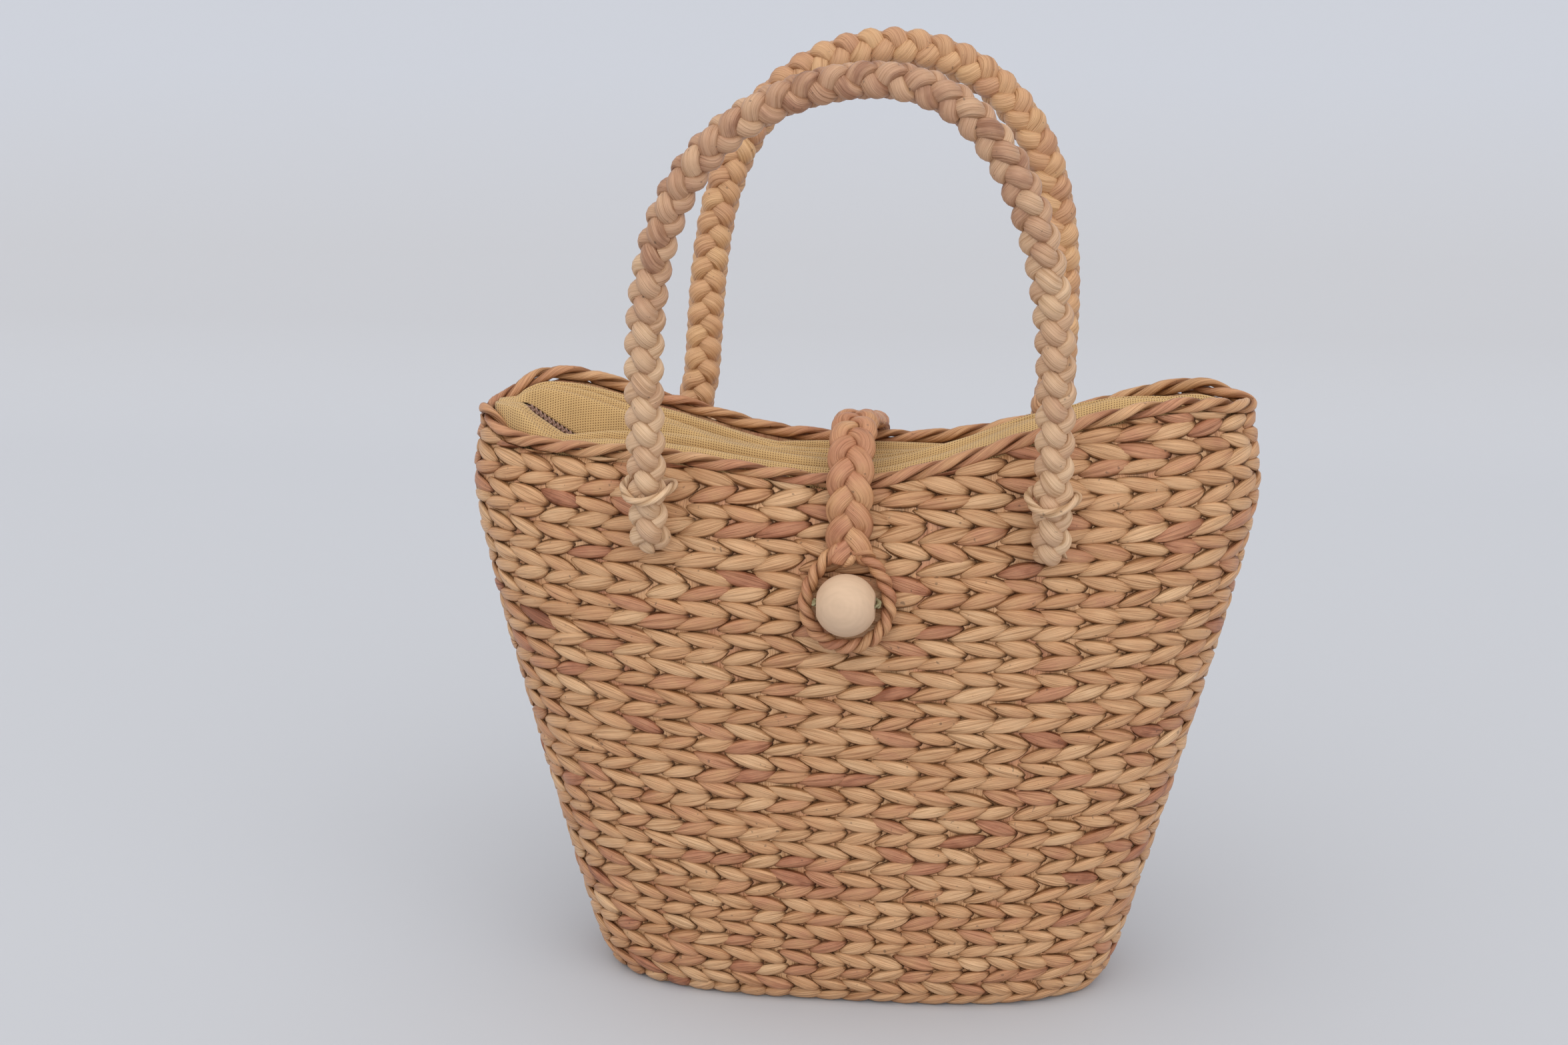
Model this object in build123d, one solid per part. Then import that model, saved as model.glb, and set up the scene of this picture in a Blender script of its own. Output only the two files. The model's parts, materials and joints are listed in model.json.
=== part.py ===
"""Straw bag: twined basket body, braided handles, braided strap with a bead, and a zipped cloth lining.

Millimetres. The origin is the centre of the base, +Z is up, +X runs along the long side, the bead is at -Y.
"""
import os
from math import cos, hypot, pi, sin

from build123d import *

# Basket body: overall sizes
HALF_WIDTH = 162.5
HALF_DEPTH = 60.0
RIM_MID_HEIGHT = 224.0
RIM_RISE = 29.0
WALL = 4.0
FLOOR = 4.0

# Basket body: plan outline against height, as (height share, share of the full size)
WIDTH_SHARES = (
    (0.0, 0.630), (0.03, 0.666), (0.09, 0.697), (0.3, 0.776),
    (0.55, 0.868), (0.75, 0.944), (0.9, 0.992), (1.0, 0.972),
)
DEPTH_SHARES = (
    (0.0, 0.690), (0.03, 0.760), (0.09, 0.820), (0.3, 0.910),
    (0.55, 0.980), (0.75, 1.0), (0.9, 0.925), (1.0, 0.800),
)
SQUARE_SHARES = ((0.0, 3.0), (0.55, 2.8), (1.0, 2.6))
FULL_SHARES = ((0.0, 0.38), (0.55, 0.42), (0.8, 0.5), (1.0, 0.6))
RIM_BLEND_SHARE = 1 / 3

# Basket body: rim height from left to right, as (share of the half width, share of the full rise)
RIM_FRONT_SHARES = (
    (-1.0, 0.55), (-0.9, 0.29), (-0.48, 0.27), (0.0, 0.0), (0.21, 0.23),
    (0.46, 0.68), (0.68, 0.95), (0.85, 1.0), (1.0, 0.85),
)
RIM_REAR_SHARES = (
    (-1.0, 0.55), (-0.84, 0.92), (-0.55, 0.45), (-0.25, -0.02), (0.0, -0.1),
    (0.25, -0.02), (0.56, 0.41), (0.86, 0.95), (1.0, 0.85),
)

# Twined weave: slanted stitches in rows, every second row slants the other way
STAKES = 46
ROWS = 35
SLANT_SHARE = 0.65
STITCH_CREST = 1.4
STITCH_VALLEY = 0.6
LINING_SHARES = (1.0, 0.95, 0.8, 0.5, 0.12)

# Rope round the rim
ROPE_LONG = 4.2
ROPE_SHORT = 2.7
ROPE_RINGS = 84
SEAT = 0.3

# Handles: the rear one is thicker and taller, and leans from its legs up
FRONT_HANDLE_RADIUS = 7.5
REAR_HANDLE_RADIUS = 9.0
HANDLE_GROOVE = 1.6
HANDLE_COLUMNS = 6
HANDLE_RINGS = 82
HANDLE_HALF_SPAN = 78.0
HANDLE_FOOT_DROP = 24.0
HANDLE_LEG = 35.0
FRONT_HANDLE_ARCH = 149.0
REAR_HANDLE_ARCH = 151.5
HANDLE_SPREAD = 24.0
FRONT_HANDLE_LEAN = 10.0
REAR_HANDLE_LEAN = 6.5
HANDLE_FOOT_HEIGHT = RIM_MID_HEIGHT - HANDLE_FOOT_DROP
HANDLE_ARCH_HEIGHT = HANDLE_FOOT_HEIGHT + HANDLE_LEG
HANDLE_TOP_DEPTH = HALF_DEPTH + HANDLE_SPREAD
FRONT_ARCH_POWER = 3.3
REAR_ARCH_POWER = 3.6
FRONT_LEAN_POWER = 8
REAR_LEAN_POWER = 0.35
ARCH_STEPS = 400

# Ties that bind the handle legs
TIE_RADIUS = 1.5
TIE_ABOVE_FOOT = 26.0
TIE_HEIGHT = HANDLE_FOOT_HEIGHT + TIE_ABOVE_FOOT
TIE_RINGS = 8

# Closing strap and its loop
STRAP_HALF_WIDTH = 10.0
STRAP_HALF_THICK = 2.5
STRAP_DIMPLE = 0.8
STRAP_PITCH = 7.5
STRAP_TAIL_DROP = 38.0
STRAP_TAIL_HEIGHT = RIM_MID_HEIGHT - STRAP_TAIL_DROP
STRAP_ARCH = 13.0
STRAP_ARCH_POWER = 2.4
HINGE_OUT = 6.5
HINGE_DEPTH = HALF_DEPTH * DEPTH_SHARES[-1][1] + HINGE_OUT
FLAP_LENGTH = 36.0
FLAP_TUCK = 2.0
FLAP_LEAN = HALF_DEPTH * (1 - DEPTH_SHARES[-1][1]) - FLAP_TUCK
FLAP_END_SHARES = ((-0.95, 0.3), (-0.7, 0.7))
LOOP_STRAND = 2.2
LOOP_RADIUS = 16.4
LOOP_NECK = 5.0
LOOP_RINGS = 22

# Wooden bead and the cord that holds it
BEAD_RADIUS = 12.2
BEAD_HALF_LENGTH = 11.2
BEAD_BORE = 1.4
BEAD_DROP = 40.0
BEAD_HEIGHT = RIM_MID_HEIGHT - BEAD_DROP
BEAD_SIDES = 12
BEAD_BANDS = 6
CORD_RADIUS = 1.0
CORD_SIDES = 6
CORD_FOOT = 9.0
CORD_BEND_SHARE = 0.43

# Cloth lining
CLOTH = 0.8
CLOTH_GAP = 0.4
FRONT_CREST = 5.0
REAR_CREST = 1.0
PANEL_STEPS = 12
PANEL_EDGE_SHARE = 0.5
FOLD_START_SHARE = 0.84
FOLD_RISE_SHARE = 0.75
FOLD_MIDDLE_SHARE = 0.5

# Zip in the mouth
ZIP_DROP = 2.0
ZIP_HEIGHT = RIM_MID_HEIGHT - ZIP_DROP
ZIP_END_GAP = 13.95
ZIP_END_LENGTH = 40.0
ZIP_HALF_LENGTH = HALF_WIDTH * WIDTH_SHARES[-1][1] - WALL - ZIP_END_GAP
ZIP_STRAIGHT = ZIP_HALF_LENGTH - ZIP_END_LENGTH
ZIP_END_RISE = 22.0
ZIP_END_SHARES = (0, 0.3, 0.6, 1)
ZIP_END_POWER = 1.4
TAPE_INNER = 1.2
TAPE_OUTER = 8.0
TAPE_THICK = 0.6
COIL_INNER = 0.7
COIL_OUTER = 2.7
COIL_TALL = 1.8
SLIDER_LENGTH = 9.0
SLIDER_HALF_WIDTH = 4.2
SLIDER_PLATE = 1.0
SLIDER_POST = 0.8
SLIDER_STOP = 5.0
SLIDER_AT = ZIP_STRAIGHT - SLIDER_STOP
BAIL_HEIGHT = 5.9
BAIL_EAR_INNER = 1.4
BAIL_EAR_OUTER = 2.0
BAIL_BAR = 0.9
PULL_EYE = 1.9
PULL_HOLE = 1.1
PULL_LENGTH = 22.0
PULL_HALF_WIDTH = 1.1
PULL_HALF_THICK = 0.6


def add(a, b):
    return tuple(p + q for p, q in zip(a, b))


def scaled(a, k):
    return tuple(p * k for p in a)


def unit(a):
    return scaled(a, 1 / (a[0] ** 2 + a[1] ** 2 + a[2] ** 2) ** 0.5)


def cross(a, b):
    return (a[1] * b[2] - a[2] * b[1], a[2] * b[0] - a[0] * b[2], a[0] * b[1] - a[1] * b[0])


def mix(a, b, t):
    return tuple(p + (q - p) * t for p, q in zip(a, b))


def read(shares, at):
    """A share table read at one place, with a smooth curve through its rows."""
    rows = [shares[0], *shares, shares[-1]]
    for before, low, high, after in zip(rows, rows[1:], rows[2:], rows[3:]):
        if low[0] <= at <= high[0] and high[0] > low[0]:
            span = high[0] - low[0]
            t = (at - low[0]) / span
            rise_in = (high[1] - before[1]) / (high[0] - before[0]) * span
            rise_out = (after[1] - low[1]) / (after[0] - low[0]) * span
            bend = (t * t * (3 - 2 * t)) * (high[1] - low[1])
            return low[1] + bend + t * (1 - t) ** 2 * rise_in - t * t * (1 - t) * rise_out
    return shares[-1][1]


def solid(faces):
    """A closed solid from flat faces, each given as its corner points."""
    return Solid(Shell([Face(Wire.make_polygon(corners)) for corners in faces]))


def band(low, high):
    """Triangles between two closed rings of equal count."""
    count = len(low)
    faces = []
    for i in range(count):
        n = (i + 1) % count
        faces.append((low[i], low[n], high[n]))
        faces.append((low[i], high[n], high[i]))
    return faces


def skin(rings, closed=False):
    """Faces of a tube through rings of points, with flat ends unless it closes on itself."""
    faces = []
    for low, high in zip(rings, rings[1:] + rings[:1] if closed else rings[1:]):
        faces += band(low, high)
    if not closed:
        faces += [tuple(reversed(rings[0])), tuple(rings[-1])]
    return faces


def box_between(low, high):
    """A plain block from its two corners."""
    size = [q - p for p, q in zip(low, high)]
    return Pos(*mix(low, high, 0.5)) * Box(*size)


# The basket's wall surface

SECTION_STEPS = 240
sections = {}


def section(height_share):
    """Plan outline at one height, as points and running lengths, starting at +X."""
    key = round(height_share, 6)
    if key not in sections:
        wide = HALF_WIDTH * read(WIDTH_SHARES, height_share)
        deep = HALF_DEPTH * read(DEPTH_SHARES, height_share)
        square = read(SQUARE_SHARES, height_share)
        full = read(FULL_SHARES, height_share)
        points = []
        for step in range(SECTION_STEPS + 1):
            turn = 2 * pi * step / SECTION_STEPS
            across = abs(cos(turn)) ** (2 / square)
            x = wide * across * (1 if cos(turn) >= 0 else -1)
            y = deep * max(0, 1 - across ** square) ** full * (1 if sin(turn) >= 0 else -1)
            points.append((x, y))
        runs = [0]
        for p, q in zip(points, points[1:]):
            runs.append(runs[-1] + hypot(q[0] - p[0], q[1] - p[1]))
        sections[key] = (points, runs)
    return sections[key]


def plan(around, height_share):
    """Point and outward normal of the plan outline; around runs from 0 to 1 by length."""
    points, runs = section(height_share)
    want = (around % 1) * runs[-1]
    i = 0
    while runs[i + 1] < want:
        i += 1
    t = (want - runs[i]) / (runs[i + 1] - runs[i])
    x = points[i][0] + (points[i + 1][0] - points[i][0]) * t
    y = points[i][1] + (points[i + 1][1] - points[i][1]) * t
    before = points[i - 1 if i else -2]
    after = points[i + 2 if i + 2 < len(points) else 1]
    dx, dy = after[0] - before[0], after[1] - before[1]
    size = hypot(dx, dy)
    return (x, y), (dy / size, -dx / size)


def rim_height(x, y):
    """Height of the wall's top edge over a plan point."""
    across = max(-1, min(1, x / (HALF_WIDTH * WIDTH_SHARES[-1][1])))
    blend = HALF_DEPTH * DEPTH_SHARES[-1][1] * RIM_BLEND_SHARE
    front = max(0, min(1, (1 - y / blend) / 2))
    rear = read(RIM_REAR_SHARES, across)
    return RIM_MID_HEIGHT + RIM_RISE * (rear + (read(RIM_FRONT_SHARES, across) - rear) * front)


def wall(around, height_share, out):
    """Point of the wall, moved outwards by a distance."""
    (x, y), (nx, ny) = plan(around, height_share)
    (tx, ty), _ = plan(around, 1)
    z = RIM_MID_HEIGHT * height_share + (rim_height(tx, ty) - RIM_MID_HEIGHT) * height_share ** 3
    return (x + nx * out, y + ny * out, z)


def stitched(x, height, side):
    """Half depth of the wall's stitched face at one place; side is -1 in front, 1 behind."""
    rim = rim_height(x, side * HALF_DEPTH)
    share = height / rim
    for _ in range(6):
        share = min(1, (height - (rim - RIM_MID_HEIGHT) * share ** 3) / RIM_MID_HEIGHT)
    points, runs = section(share)
    for k in range(SECTION_STEPS):
        p, q = points[k], points[k + 1]
        if (p[1] + q[1]) * side > 0 and (p[0] - x) * (q[0] - x) <= 0:
            break
    t = (x - p[0]) / (q[0] - p[0])
    around = (runs[k] + (runs[k + 1] - runs[k]) * t) / runs[-1]
    row = min(ROWS - 1, int(share * ROWS))
    up = share * ROWS - row
    across = (around * STAKES - row_shift(row) - (row_shift(row + 1) - row_shift(row)) * up) % 1
    lift = 2 * min(up, 1 - up, across, 1 - across)
    return abs(p[1] + (q[1] - p[1]) * t) - STITCH_VALLEY + (STITCH_CREST + STITCH_VALLEY) * lift


def wall_depth(x, height, side, half_wide, half_tall):
    """Greatest half depth of the stitched face over a patch."""
    shares = [k / 4 - 1 for k in range(9)]
    return max(stitched(x + half_wide * a, height + half_tall * b, side) for a in shares for b in shares)


def inner_ring(height_share, inset, flat=None):
    """Every second stake's point on the inside of the wall."""
    ring = []
    for j in range(STAKES // 2):
        around = (2 * j + row_shift(ROWS)) / STAKES
        x, y, z = wall(around, height_share, -inset)
        ring.append((x, y, z if flat is None else flat))
    return ring


def row_shift(row):
    """Shift of a row boundary round the wall, in stakes."""
    return SLANT_SHARE if row % 2 else 0


def woven_body():
    valleys = []
    for row in range(ROWS + 1):
        ring = [wall((i + row_shift(row)) / STAKES, row / ROWS, -STITCH_VALLEY) for i in range(STAKES)]
        valleys.append(ring)
    faces = [tuple(reversed(valleys[0]))]
    for row in range(ROWS):
        low, high = valleys[row], valleys[row + 1]
        shift = (row_shift(row) + row_shift(row + 1)) / 2 + 0.5
        for i in range(STAKES):
            n = (i + 1) % STAKES
            crest = wall((i + shift) / STAKES, (row + 0.5) / ROWS, STITCH_CREST)
            corners = (low[i], low[n], high[n], high[i])
            for k in range(4):
                faces.append((corners[k], corners[(k + 1) % 4], crest))
    inner = [inner_ring(share, WALL) for share in LINING_SHARES]
    inner.append(inner_ring(FLOOR / RIM_MID_HEIGHT, WALL, FLOOR))
    top = valleys[-1]
    for j in range(STAKES // 2):
        n = (j + 1) % (STAKES // 2)
        after = (2 * j + 2) % STAKES
        faces.append((top[2 * j], top[2 * j + 1], inner[0][j]))
        faces.append((top[2 * j + 1], inner[0][n], inner[0][j]))
        faces.append((top[2 * j + 1], top[after], inner[0][n]))
    for upper, lower in zip(inner, inner[1:]):
        faces += band(upper, lower)
    faces.append(tuple(inner[-1]))
    return solid(faces)


def rim_rope():
    """Two strands laid round each other along the top edge."""
    rings = []
    for i in range(ROPE_RINGS):
        (x, y), normal = plan(i / ROPE_RINGS, 1)
        x, y = x - normal[0] * WALL / 2, y - normal[1] * WALL / 2
        point = (x, y, rim_height(x, y) + ROPE_LONG * sin(pi / 4) + SEAT)
        ring = []
        for corner in range(4):
            reach = ROPE_LONG if (corner + i) % 2 else ROPE_SHORT
            angle = pi / 4 + pi / 2 * corner
            side = scaled((normal[0], normal[1], 0), reach * cos(angle))
            ring.append(add(point, add(side, (0, 0, reach * sin(angle)))))
        rings.append(ring)
    return solid(skin(flipped(rings), closed=True))


# Handles and ties


def handle_radius(side):
    return FRONT_HANDLE_RADIUS if side < 0 else REAR_HANDLE_RADIUS


def handle_arch(side):
    return FRONT_HANDLE_ARCH if side < 0 else REAR_HANDLE_ARCH


def handle_path(side):
    """Middle line of a handle from its right foot to its left foot; side is -1 in front, 1 behind."""
    radius, arch = handle_radius(side), handle_arch(side)
    arch_power = FRONT_ARCH_POWER if side < 0 else REAR_ARCH_POWER
    lean = FRONT_HANDLE_LEAN if side < 0 else REAR_HANDLE_LEAN
    lean_power = FRONT_LEAN_POWER if side < 0 else REAR_LEAN_POWER
    patch = (HANDLE_FOOT_HEIGHT + radius / 2, side, radius / 2, radius / 2)
    feet = [wall_depth(end * HANDLE_HALF_SPAN, *patch) for end in (-1, 1)]
    foot_depth = max(feet) + radius + SEAT
    fine = [(HANDLE_HALF_SPAN, HANDLE_FOOT_HEIGHT)]
    for step in range(ARCH_STEPS + 1):
        turn = pi * step / ARCH_STEPS
        up = max(0, sin(turn)) ** (2 / arch_power)
        fine.append((HANDLE_HALF_SPAN * cos(turn) + lean * up ** lean_power, HANDLE_ARCH_HEIGHT + arch * up))
    fine.append((-HANDLE_HALF_SPAN, HANDLE_FOOT_HEIGHT))
    runs = [0]
    for p, q in zip(fine, fine[1:]):
        runs.append(runs[-1] + hypot(q[0] - p[0], q[1] - p[1]))
    path = []
    i = 0
    for ring in range(HANDLE_RINGS):
        want = runs[-1] * ring / (HANDLE_RINGS - 1)
        while i + 2 < len(runs) and runs[i + 1] < want:
            i += 1
        x, z = mix(fine[i], fine[i + 1], (want - runs[i]) / (runs[i + 1] - runs[i]))
        up = (z - HANDLE_FOOT_HEIGHT) / (HANDLE_LEG + arch)
        path.append((x, side * (foot_depth + (HANDLE_TOP_DEPTH - foot_depth) * up), z))
    return path


def handle(side):
    """Round braid: raised lobes in columns, each column half a lobe on from the next."""
    path = handle_path(side)
    lean = unit((0, HANDLE_LEG + handle_arch(side), path[0][1] - side * HANDLE_TOP_DEPTH))
    rings = []
    for i, point in enumerate(path):
        before, after = path[max(0, i - 1)], path[min(len(path) - 1, i + 1)]
        along = unit(add(after, scaled(before, -1)))
        across = unit(cross(lean, along))
        ring = []
        for column in range(HANDLE_COLUMNS):
            reach = handle_radius(side) - HANDLE_GROOVE * ((column + i) % 2)
            angle = 2 * pi * (column + 0.5) / HANDLE_COLUMNS
            ring.append(add(point, add(scaled(across, reach * cos(angle)), scaled(lean, reach * sin(angle)))))
        rings.append(ring)
    return solid(skin(flipped(rings)))


def flipped(rings):
    return [list(reversed(ring)) for ring in rings]


def handle_tie(side, end):
    """Thin cord looped round one handle leg and hooked to the wall."""
    leg = min((p for p in handle_path(side) if p[0] * end > 0), key=lambda p: abs(p[2] - TIE_HEIGHT))
    radius = handle_radius(side)
    front = abs(leg[1]) + radius + SEAT + TIE_RADIUS
    back = wall_depth(leg[0], TIE_HEIGHT, side, radius / 2, TIE_RADIUS) + SEAT + TIE_RADIUS
    middle = (front + back) / 2
    off = (abs(leg[1]) - middle) / (front - back) * 2
    wide = (radius + SEAT + TIE_RADIUS) / cos(pi / TIE_RINGS) / (1 - off ** 2) ** 0.5
    rings = []
    for i in range(TIE_RINGS):
        turn = 2 * pi * (i + 0.5) / TIE_RINGS
        out = (cos(turn), sin(turn))
        reach = 1 / cos(pi / TIE_RINGS)
        centre = (leg[0] + wide * out[0], side * (middle + (front - back) / 2 * reach * out[1]), TIE_HEIGHT)
        normal = (out[0], side * out[1], 0)
        ring = []
        for corner in range(4):
            angle = pi / 2 * corner
            spoke = add(scaled(normal, TIE_RADIUS * cos(angle)), (0, 0, TIE_RADIUS * sin(angle)))
            ring.append(add(centre, spoke))
        rings.append(ring)
    return solid(skin(rings if side > 0 else flipped(rings), closed=True))


# Strap


def strap_height(side):
    """Middle height of the strap where it rests on the rim rope; side is -1 in front, 1 behind."""
    rim = max(rim_height(end * STRAP_HALF_WIDTH, side * HALF_DEPTH) for end in (-1, 1))
    return rim + 2 * ROPE_LONG * sin(pi / 4) + 2 * SEAT + STRAP_HALF_THICK


def spaced(points, pitch):
    """Points along a line of corners, at an even spacing near the pitch."""
    runs = [0]
    for p, q in zip(points, points[1:]):
        runs.append(runs[-1] + hypot(q[0] - p[0], q[1] - p[1]))
    count = max(2, round(runs[-1] / pitch))
    out = []
    i = 0
    for step in range(count + 1):
        want = runs[-1] * step / count
        while i + 2 < len(runs) and runs[i + 1] < want:
            i += 1
        out.append(mix(points[i], points[i + 1], (want - runs[i]) / (runs[i + 1] - runs[i])))
    return out


def strap_ring(point, along, number, thick=STRAP_HALF_THICK):
    """Six corners of the flat braid, with the raised lobe on alternate sides."""
    normal = (0, -along[1], along[0])
    centre = (0, point[0], point[1])
    dimple = max(0, thick - STRAP_DIMPLE)
    left, right = (thick, dimple) if number % 2 else (dimple, thick)
    edge, half = STRAP_HALF_WIDTH, STRAP_HALF_WIDTH / 2
    corners = ((-edge, 0), (-half, left), (half, right), (edge, 0), (half, -left), (-half, -right))
    return [add(centre, (x, normal[1] * rise, normal[2] * rise)) for x, rise in corners]


def strap_rings(path):
    rings = []
    for i, point in enumerate(path):
        before, after = path[max(0, i - 1)], path[min(len(path) - 1, i + 1)]
        run = hypot(after[0] - before[0], after[1] - before[1])
        along = ((after[0] - before[0]) / run, (after[1] - before[1]) / run)
        rings.append(strap_ring(point, along, i))
    return rings


def strap_anchor():
    """Fixed part of the strap: down the back wall, over the rear rim and across the mouth in an arch."""
    clear = SEAT + STRAP_HALF_THICK
    rear, front = strap_height(1), strap_height(-1)
    tail = []
    for step in range(5):
        height = STRAP_TAIL_HEIGHT + (rim_height(0, HALF_DEPTH) - STRAP_TAIL_HEIGHT) * step / 4
        face = wall_depth(0, height, 1, STRAP_HALF_WIDTH, STRAP_PITCH / 2) + clear
        tail.append((max(face, HINGE_DEPTH), height))
    tail.append((HINGE_DEPTH, rear - 2 * STRAP_HALF_THICK))
    arch = [(HINGE_DEPTH - STRAP_HALF_THICK, rear)]
    for step in range(1, 8):
        share = step / 8
        height = rear + (front - rear) * share + STRAP_ARCH * sin(pi * share ** STRAP_ARCH_POWER)
        arch.append((HINGE_DEPTH * (1 - 2 * share), height))
    end = (clear - HINGE_DEPTH, front)
    path = spaced(tail, STRAP_PITCH) + spaced([*arch, end], STRAP_PITCH)
    rings = strap_rings(path)
    rings[-1] = strap_ring(end, (-1, 0), len(path))
    return solid(skin(rings))


def strap_flap():
    """Swinging part of the strap: the braid over the front wall and the twisted loop below it."""
    size = hypot(FLAP_LEAN, FLAP_LENGTH + LOOP_RADIUS)
    along = (-FLAP_LEAN / size, -(FLAP_LENGTH + LOOP_RADIUS) / size)
    hinge = (-HINGE_DEPTH, strap_height(-1))
    rings = []
    for back, thin in FLAP_END_SHARES:
        point = (hinge[0] + along[0] * back * STRAP_HALF_THICK, hinge[1] + along[1] * back * STRAP_HALF_THICK)
        rings.append(strap_ring(point, along, 0, STRAP_HALF_THICK * thin))
    count = round(FLAP_LENGTH / STRAP_PITCH)
    for step in range(count + 1):
        reach = FLAP_LENGTH * step / count
        rings.append(strap_ring((hinge[0] + along[0] * reach, hinge[1] + along[1] * reach), along, step))
    bead = bead_centre()
    middle = hypot(bead[1] - hinge[0], bead[2] - hinge[1])
    normal = (0, -along[1], along[0])
    loop = []
    for i in range(LOOP_RINGS):
        turn = 2 * pi * i / LOOP_RINGS
        neck = LOOP_NECK * max(0, cos(turn)) ** 2
        reach = middle - (LOOP_RADIUS + neck) * cos(turn)
        centre = (LOOP_RADIUS * sin(turn), hinge[0] + along[0] * reach, hinge[1] + along[1] * reach)
        side = (sin(turn), -along[0] * cos(turn), -along[1] * cos(turn))
        twist = pi / 4 * (i % 2)
        ring = []
        for corner in range(4):
            angle = pi / 2 * corner + twist
            spoke = add(scaled(side, LOOP_STRAND * cos(angle)), scaled(normal, LOOP_STRAND * sin(angle)))
            ring.append(add(centre, spoke))
        loop.append(ring)
    return solid(skin(rings)) + solid(skin(loop, closed=True))


# Bead


def bead_centre():
    patch = BEAD_RADIUS / 4
    return (0, -wall_depth(0, BEAD_HEIGHT, -1, patch, patch) - BEAD_RADIUS - SEAT, BEAD_HEIGHT)


def wooden_bead():
    centre = bead_centre()

    def ring(x, radius):
        turns = [2 * pi * i / BEAD_SIDES for i in range(BEAD_SIDES)]
        return [add(centre, (x, radius * cos(a), radius * sin(a))) for a in turns]

    rings = [ring(-BEAD_HALF_LENGTH, BEAD_BORE)]
    for step in range(BEAD_BANDS + 1):
        x = BEAD_HALF_LENGTH * sin(pi * (step / BEAD_BANDS - 0.5))
        rings.append(ring(x, (BEAD_RADIUS ** 2 - x ** 2) ** 0.5))
    rings.append(ring(BEAD_HALF_LENGTH, BEAD_BORE))
    faces = []
    for low, high in zip(rings, rings[1:] + rings[:1]):
        for i in range(BEAD_SIDES):
            n = (i + 1) % BEAD_SIDES
            faces.append((low[i], low[n], high[n], high[i]))
    return solid(faces)


def bead_cord():
    """Cord through the bead, both ends taken back into the wall."""
    x, y, z = bead_centre()
    pole = BEAD_HALF_LENGTH + SEAT + CORD_RADIUS
    feet = [wall_depth(end * CORD_FOOT, BEAD_HEIGHT, -1, CORD_RADIUS, CORD_RADIUS) for end in (-1, 1)]
    foot = -max(feet) - SEAT
    leg = [(CORD_FOOT, foot), (pole, y + BEAD_RADIUS * CORD_BEND_SHARE), (pole, y)]
    line = leg + [(-a, b) for a, b in reversed(leg)]
    rings = []
    for i, (a, b) in enumerate(line):
        before, after = line[max(0, i - 1)], line[min(len(line) - 1, i + 1)]
        first = unit((a - before[0], b - before[1], 0)) if i else None
        second = unit((after[0] - a, after[1] - b, 0)) if i + 1 < len(line) else None
        heading = unit(add(first or second, second or first))
        mitre = 1 / (heading[0] * (second or first)[0] + heading[1] * (second or first)[1])
        side = (-heading[1] * mitre, heading[0] * mitre, 0)
        if i in (0, len(line) - 1):
            side = (-1 if i else 1, 0, 0)
        ring = []
        for corner in range(CORD_SIDES):
            angle = 2 * pi * corner / CORD_SIDES
            spoke = add(scaled(side, CORD_RADIUS * cos(angle)), (0, 0, CORD_RADIUS * sin(angle)))
            ring.append(add((a, b, z), spoke))
        rings.append(ring)
    return solid(skin(rings))


# Lining


def lining_pouch():
    """Cloth bag against the inside of the wall, open at the top."""
    outer = [inner_ring(share, WALL + CLOTH_GAP) for share in LINING_SHARES[1:]]
    outer.append(inner_ring((FLOOR + CLOTH_GAP) / RIM_MID_HEIGHT, WALL + CLOTH_GAP, FLOOR + CLOTH_GAP))
    inner = [inner_ring(share, WALL + CLOTH_GAP + CLOTH) for share in LINING_SHARES[1:]]
    low = FLOOR + CLOTH_GAP + CLOTH
    inner.append(inner_ring(low / RIM_MID_HEIGHT, WALL + CLOTH_GAP + CLOTH, low))
    faces = [tuple(reversed(outer[-1])), tuple(inner[-1])]
    faces += band(outer[0], inner[0])
    for upper, lower in zip(outer, outer[1:]):
        faces += [corners[::-1] for corners in band(upper, lower)]
    for upper, lower in zip(inner, inner[1:]):
        faces += band(upper, lower)
    return solid(faces)


def zip_rise(x):
    """Height of the zip: straight in the middle, rising to its ends."""
    beyond = max(0, abs(x) - ZIP_STRAIGHT) / (ZIP_HALF_LENGTH - ZIP_STRAIGHT)
    for low, high in zip(ZIP_END_SHARES, ZIP_END_SHARES[1:]):
        if beyond <= high:
            t = (beyond - low) / (high - low)
            below, above = low ** ZIP_END_POWER, high ** ZIP_END_POWER
            return ZIP_HEIGHT + ZIP_END_RISE * (below + (above - below) * t)
    return ZIP_HEIGHT + ZIP_END_RISE


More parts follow.
